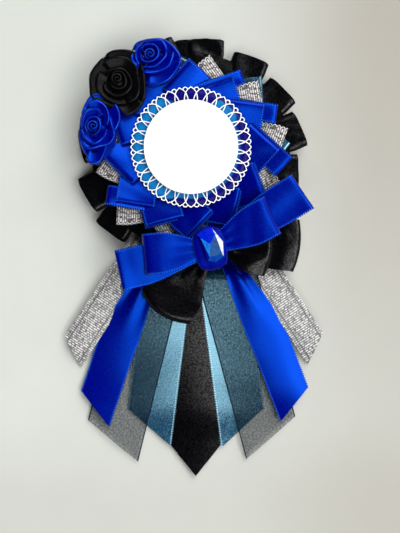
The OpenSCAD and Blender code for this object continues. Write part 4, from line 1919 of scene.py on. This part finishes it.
@dataclass
class Rose:
    """A rose folded from ribbon.

    Attributes:
        node: Name of its CAD node.
        eye: Middle of its bud, from the rosette centre.
        petals: Its petals.
        heart: Middle of its footprint from the rosette centre, and half its width and height.
    """

    node: str
    eye: tuple[float, float]
    petals: tuple[Petal, ...]
    heart: tuple[float, float, float, float]

    BUD_R: ClassVar[float] = 2.7
    BUD_EYE_R: ClassVar[float] = 0.5
    BUD_TOP: ClassVar[float] = 9.6
    # The cone: its size as a share of the heart's, the height of its rim and of its tip over that
    CONE_SHARE: ClassVar[float] = 0.8
    CONE_RIM: ClassVar[float] = 0.4
    CONE_TIP: ClassVar[float] = 5.5
    # Distance from an edge that the cone's cloth is given, so that no thread shows on it
    INNER: ClassVar[float] = 9.0

    def bud(self) -> Petal:
        """The spiral in the rose's eye."""
        turns = np.linspace(0, 3.4 * math.pi, 22)
        radius = self.BUD_EYE_R + (self.BUD_R - self.BUD_EYE_R) * turns / turns[-1]
        rim = tuple((float(r * math.cos(a)), float(r * math.sin(a))) for r, a in zip(radius, turns))
        return Petal(rim, self.BUD_TOP, 0.35, 1.6, 2.0)

    def fill(self, mesh: PieceMesh, seat: float) -> None:
        """Add the cone of wound ribbon under the petals.

        Args:
            mesh: The rose's mesh.
            seat: Height that it sits at.
        """
        x, y, half_width, half_height = self.heart
        angle = np.linspace(0, 2 * math.pi, 60, endpoint=False)[:, None]
        share = np.linspace(0.02, 1, 12)[None, :]
        wide, high = self.CONE_SHARE * half_width * share, self.CONE_SHARE * half_height * share
        across = CENTRE[0] + x * share + self.eye[0] * (1 - share) + wide * np.cos(angle)
        up = CENTRE[1] + y * share + self.eye[1] * (1 - share) + high * np.sin(angle)
        height = seat + self.CONE_RIM + self.CONE_TIP * (1 - share**1.5) * np.ones(angle.shape)
        middle = np.stack([across, up, height], axis=-1)
        mesh.slab(middle, np.full(middle.shape, self.INNER), 0.3, ring=True)

    def build(self, look: Look, seat: float) -> None:
        """Build and dress the rose.

        Args:
            look: Its look.
            seat: Height that it sits at.
        """
        mesh = PieceMesh(f"{self.node}_cloth")
        eye = (self.eye[0], self.eye[1], seat)
        ribbons = [petal.ribbon(eye) for petal in (*self.petals, self.bud())]
        for ribbon in ribbons:
            ribbon.weave_into(mesh)
        self.fill(mesh, seat)
        piece = mesh.build([look.material], sharp=70)
        replace(piece, self.node)
        declare(ribbons)


@dataclass
class Roses:
    """The three ribbon roses, each with its petals from the outermost in.

    Attributes:
        seat: Height that they sit at.
    """

    seat: float = 21.2

    TOP: ClassVar[tuple[Petal, ...]] = (
        Petal(((-9, 3), (-6, 6), (2.4, 7.8), (6.2, 7.4), (9.7, 5.2), (13, 1.5), (15, -2)), 5.6, 5, 1.2, 3.5),
        Petal(((15, -1.5), (13.3, -5.5), (11, -9), (8, -12), (2.4, -14), (-3, -13)), 5.9, 5.5, 1.2, 3.5),
        Petal(((11.5, 1.5), (10, -2.8), (8.8, -5.3), (5, -7.6), (-0.6, -8.6), (-5, -8)), 7.4, 3.8, 1.5),
        Petal(((-9, 1.5), (-8.7, -3), (-6, -8)), 7.1, 3.5, 1.5),
        Petal(((-5, 5.2), (0, 6.6), (5, 6.5), (7.3, 3.7), (8, 0.5)), 8.1, 2.6, 1.8),
        Petal(((8, 1.6), (7.3, -1), (4.1, -4.5), (1.5, -6), (-3.5, -6.2)), 8.3, 2.4, 1.8),
        Petal(((-6, -4.5), (-7, -1), (-6.6, 2.4), (-4.5, 5)), 8.2, 2.4, 1.8),
        Petal(((-4.4, 3), (-2, 4.3), (2, 4.1), (3.9, 1.1), (3, -2), (-0.6, -3.8), (-3.4, -3.3),
               (-4.8, -0.5)), 9, 1.6, 2.1),
    )
    BLACK: ClassVar[tuple[Petal, ...]] = (
        Petal(((-7, 11.2), (-2, 13.8), (5.7, 13.8), (9.5, 11.8), (12, 6.5)), 5.9, 6, 1.1, 3.5),
        Petal(((10.6, 9.5), (12.3, 4), (12.8, -1.5), (12.9, -6.2), (12, -11)), 6.3, 5, 1.1, 3.5),
        Petal(((12.6, -9.5), (9.5, -13.6), (6, -16), (3, -15.8), (-0.8, -11.5)), 5.2, 6, 1.1, 3),
        Petal(((0.5, -13.8), (-7, -11.8), (-12.6, -8.3), (-13.2, -4), (-13.2, 2.3), (-11.6, 5.4),
               (-6.4, 11.6)), 5.6, 6, 1.2, 3.5),
        Petal(((-8, 7.5), (-2, 10.4), (4, 10.2), (8.3, 6.7), (10, 1)), 7.2, 4.4, 1.5),
        Petal(((9.4, 3), (10.3, -4), (8.7, -9), (3.5, -11.6)), 7.1, 4.4, 1.5),
        Petal(((5.5, -11.2), (-2, -11), (-8, -7.3), (-10, -1), (-8.3, 5)), 6.8, 4.4, 1.5),
        Petal(((-5.4, 1.9), (-4.6, 3.8), (-0.3, 5), (2, 5), (4.7, 2.8), (6.6, -1.5), (5.8, -4.9), (2.3, -7.6),
               (-1.6, -8), (-5.4, -5.2), (-6.4, -1)), 8.3, 2.6, 1.9),
        Petal(((-3.2, 0), (-1.2, 3.3), (2, 3), (4, -0.5), (3.6, -3.4), (0.6, -4.8), (-2.4, -3.8),
               (-3.4, -1.2)), 9, 1.4, 2.1),
    )
    LOW: ClassVar[tuple[Petal, ...]] = (
        Petal(((-6.4, 4.5), (-4.5, 10), (-1.5, 14.6), (1.3, 15.6), (5, 15.2), (8.7, 13.8)), 5.6, 5, 1.1, 3.5),
        Petal(((9.5, 12.5), (12, 6.9), (12.1, 3), (9.5, -3)), 6.2, 4.5, 1.2, 3),
        Petal(((10.5, -1), (8.7, -6.3), (5.8, -9.6), (4.6, -13), (2, -17), (-2, -17.2),
               (-4, -13)), 5.1, 5, 0.9, 3),
        Petal(((-3.6, -14), (-6, -8.8), (-6.9, -4.6), (-6.5, 0.3), (-6, 6.4)), 5.6, 3.5, 1.1, 3),
        Petal(((-6, -6), (-3.3, -10.4), (3.5, -9.3), (7.6, -8), (9.7, -4.3), (9.2, -1)), 6.7, 4, 1.3),
        Petal(((-4, 9.8), (1, 12.2), (4.4, 10.7), (6.3, 8.2), (7.2, 4.3), (6.8, 1)), 7.4, 3.4, 1.5),
        Petal(((7.6, 6), (8.3, 2.2), (9.6, -3)), 7, 2, 1.2),
        Petal(((6.6, -1.5), (4.8, -5.3), (0.1, -8.4), (-4.4, -5.6), (-5.6, -1)), 7.8, 2.8, 1.5),
        Petal(((-5.4, -2), (-5.3, 3), (-3, 7.3), (1, 8.3), (4.5, 6)), 7.9, 2.8, 1.5),
        Petal(((-3.4, -2.8), (-3.6, 1), (-1.6, 4), (1.5, 4), (3.2, 1.7), (2.7, -2.1), (0.2, -4.4),
               (-2, -4)), 8.9, 1.4, 2.1),
    )

    def build(self, palette: Palette) -> None:
        """Build and dress the roses."""
        top = Rose("rose_blue_top", (-19.2, 44.5), self.TOP, (-17, 41.4, 13.2, 10.8))
        black = Rose("rose_black", (-34.9, 32.6), self.BLACK, (-35.4, 31.4, 13.5, 15.5))
        low = Rose("rose_blue_low", (-46.4, 10.1), self.LOW, (-43.7, 9.4, 9.8, 17))
        top.build(palette.royal, self.seat)
        black.build(palette.black_rose, self.seat)
        low.build(palette.royal, self.seat)


@dataclass
class BlackBow:
    """The black satin bow: one loop down and two to the right.

    Attributes:
        z: Height of its lower loops.
        raised: How much higher the upper loop on the right lies.
    """

    z: float = 9.9
    raised: float = 3.7

    def build(self, palette: Palette) -> None:
        """Build and dress the bow."""
        loops = [
            Loop(
                pose_of_end((3.6, -1), self.z, 235, 35), 35, 28, 6.6, 3, 13,
                belly=0.8, gather=0.25, slant=-1, bulge=4, weave=Weave.PLAIN_EDGE, wave=0.25, seed=81,
            ),
            Loop(
                Pose(52.8, 4.4, self.z, -7), 42, 26, 3.0, 2.2, 10,
                belly=0.2, gather=0.6, bulge=2, weave=Weave.PLAIN_EDGE, wave=0.7, seed=82,
            ),
            Loop(
                Pose(38, -1, self.z + self.raised, -11), 26, 20, 4.2, 2.2, 7,
                belly=0.5, gather=0.7, bulge=1.5, weave=Weave.PLAIN_EDGE, wave=0.8, seed=83,
            ),
        ]
        ribbons = [loop.ribbon() for loop in loops]
        make_cloth("black_bow_cloth", ribbons, palette.black, "black_bow")


@dataclass
class BlueBow:
    """The royal blue bow: two pairs of loops and the ribbon wrapped over their middle.

    Attributes:
        root: Middle of the knot.
        width: Width of the ribbon.
        back_z: Height of the back pair's underside.
        front_z: Height of the front pair's underside.
        left_raised: How much higher the back pair's left loop lies.
        knot_turn: Degrees that the knot is turned.
        knot_width: Width of the knot.
        knot_side: Side view of the knot.
    """

    root: tuple[float, float] = (7.8, 3.1)
    width: float = 19.0
    back_z: float = 21.62
    front_z: float = 24.92
    left_raised: float = 1.2
    knot_turn: float = 14.0
    knot_width: float = 15.5
    knot_side: tuple[tuple[float, float], ...] = (
        (-9.6, 1.6), (-10.2, 4), (-9.4, 6.2), (-6, 7.6), (0, 8.1), (6, 7.6), (9.4, 6.2), (10.2, 4),
        (9.6, 1.6),
    )

    def build(self, palette: Palette) -> None:
        """Build and dress the bow."""
        back = [
            self.loop(31.6, 52.8, self.back_z, 2.8, 91, -0.8),
            self.loop(193.5, 45.4, self.back_z + self.left_raised, 2.8, 92, 0.6, -8, -3),
        ]
        front = [
            self.loop(28, 34, self.front_z, 5.6, 93, 1.2),
            self.loop(185.6, 32, self.front_z, 5.6, 94, 0.3),
        ]
        make_cloth("blue_bow_back_cloth", back, palette.royal, "blue_bow_back")
        make_cloth("blue_bow_front_cloth", front, palette.royal, "blue_bow_front")
        knot = [self.knot_ribbon()]
        # The knot wears the royal satin's painted-shade copy
        make_cloth("bow_knot_cloth", knot, palette.royal_shaded, "bow_knot")

    def loop(
        self,
        aim: float,
        length: float,
        z: float,
        height: float,
        seed: int,
        slant: float,
        tilt: float = 0.0,
        pitch: float = 0.0,
    ) -> Ribbon:
        """Ribbon of one loop from the knot.

        Args:
            aim: Direction that it points.
            length: Length from the knot's middle.
            z: Height of its underside.
            height: Height near its end.
            seed: Picks its small waves.
            slant: How much further its left edge reaches.
            tilt: How far its left edge is raised, in degrees.
            pitch: How far its end is lowered, in degrees.

        Returns:
            The ribbon.
        """
        pose = pose_of_end(self.root, z, aim, length, tilt, pitch)
        return Loop(
            pose, length, self.width, height, 2.4, 8, belly=0.3, gather=0.15, slant=slant, wave=0.3, seed=seed
        ).ribbon()

    def knot_ribbon(self) -> Ribbon:
        """Ribbon wrapped over the bow's middle, in soft creases."""
        side = Curve(self.knot_side)
        pose = Pose(*self.root, self.back_z, self.knot_turn)

        def place(s: np.ndarray, t: np.ndarray) -> np.ndarray:
            flat = side.at(s)
            share = 2 * t / self.width
            middle = 1 - (2 * s / side.length - 1) ** 2
            x = t * self.knot_width / self.width * (0.5 + 0.5 * middle)
            crease = 0.35 * np.cos(2.6 * math.pi * share + 0.4) - 0.5 * share**2
            y = flat[..., 0] * (1.05 - 0.14 * share**2) + crease * (1 - middle) * 0.4
            z = flat[..., 1] + crease * middle + ripple(95, s, t, 0.15, 9)
            return pose.apply(np.stack([x, y, z], axis=-1))

        return Ribbon(self.width, side.length, place)


@dataclass
class Gem:
    """The faceted stone on the knot.

    Attributes:
        z: Height of its underside.
        girdle_z: Height of its widest part over that.
        girdle: Clockwise round the widest part, as x and y.
        top: Corners of the top, as x, y and height.
        facets: Corners of each facet, with 8 and on for those of the top, and the number of its colour of
            painted light.
        under: Corners of each facet of the underside.
    """

    z: float = 30.02
    girdle_z: float = 1.2
    girdle: tuple[tuple[float, float], ...] = (
        (1.35, 9.5), (5.2, 12.4), (8.6, 12.8), (14, 6.3), (14.4, -0.7), (10.9, -3.4), (6.9, -3), (3.3, 7.8),
    )
    top: tuple[tuple[float, float, float], ...] = (
        (7.9, 5, 4.4), (7.7, -1.2, 3.4), (13.7, 0.3, 3.0), (10.2, 9.8, 3.3),
    )
    facets: tuple[tuple[tuple[int, ...], int], ...] = (
        ((0, 1, 8, 7), 0), ((1, 2, 11, 8), 0), ((8, 11, 10, 9), 2), ((7, 8, 9), 1), ((7, 9, 6), 0),
        ((2, 3, 11), 3), ((3, 10, 11), 3), ((3, 4, 10), 3), ((4, 5, 10), 2), ((5, 6, 9, 10), 4),
    )
    under: tuple[tuple[int, ...], ...] = ((0, 1, 2, 3), (0, 3, 4, 7), (4, 5, 6, 7))

    def build(self, palette: Palette) -> None:
        """Build and dress the stone."""
        rim = np.array([(x, y, self.girdle_z) for x, y in self.girdle])
        count = len(rim)
        points = np.vstack([rim, np.array(self.top), rim * (1, 1, 0)]) + (0, 0, self.z)
        first = len(points) - count
        # Each facet takes its own colour: painted reflections, with a white painted highlight
        faces = [(facet[::-1], facet_light) for facet, facet_light in self.facets]
        for i in range(count):
            j = (i + 1) % count
            faces.append(((i, j, first + j, first + i), 0))
        for face in self.under:
            faces.append((tuple(first + i for i in face), 0))
        mesh = PieceMesh("gem_form")
        for face, facet_light in faces:
            corners = points[list(face)]
            if len(face) == 3:
                corners = np.vstack([corners, (corners[0] + corners[2]) / 2])
            mesh.add(corners, np.array([[0, 1, 2, 3]]), np.zeros((4, 3)), facet_light)
        piece = mesh.build([look.material for look in palette.stone], sharp=8)
        replace(piece, "gem")


def main() -> None:
    """Build every part of the rosette in order."""
    logging.basicConfig(level=logging.INFO, format="%(name)s: %(message)s")
    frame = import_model()
    Studio().build()
    palette = Palette()
    Backing().build(palette, frame)
    parts = (
        Tails(), BlackRuffle(), LightBlueRing(), SilverLoops(), BluePleats(), BlackBow(), BlueBow(), Gem(),
        Badge(), Roses(),
    )
    for part in parts:
        part.build(palette)


if __name__ == "__main__":
    main()
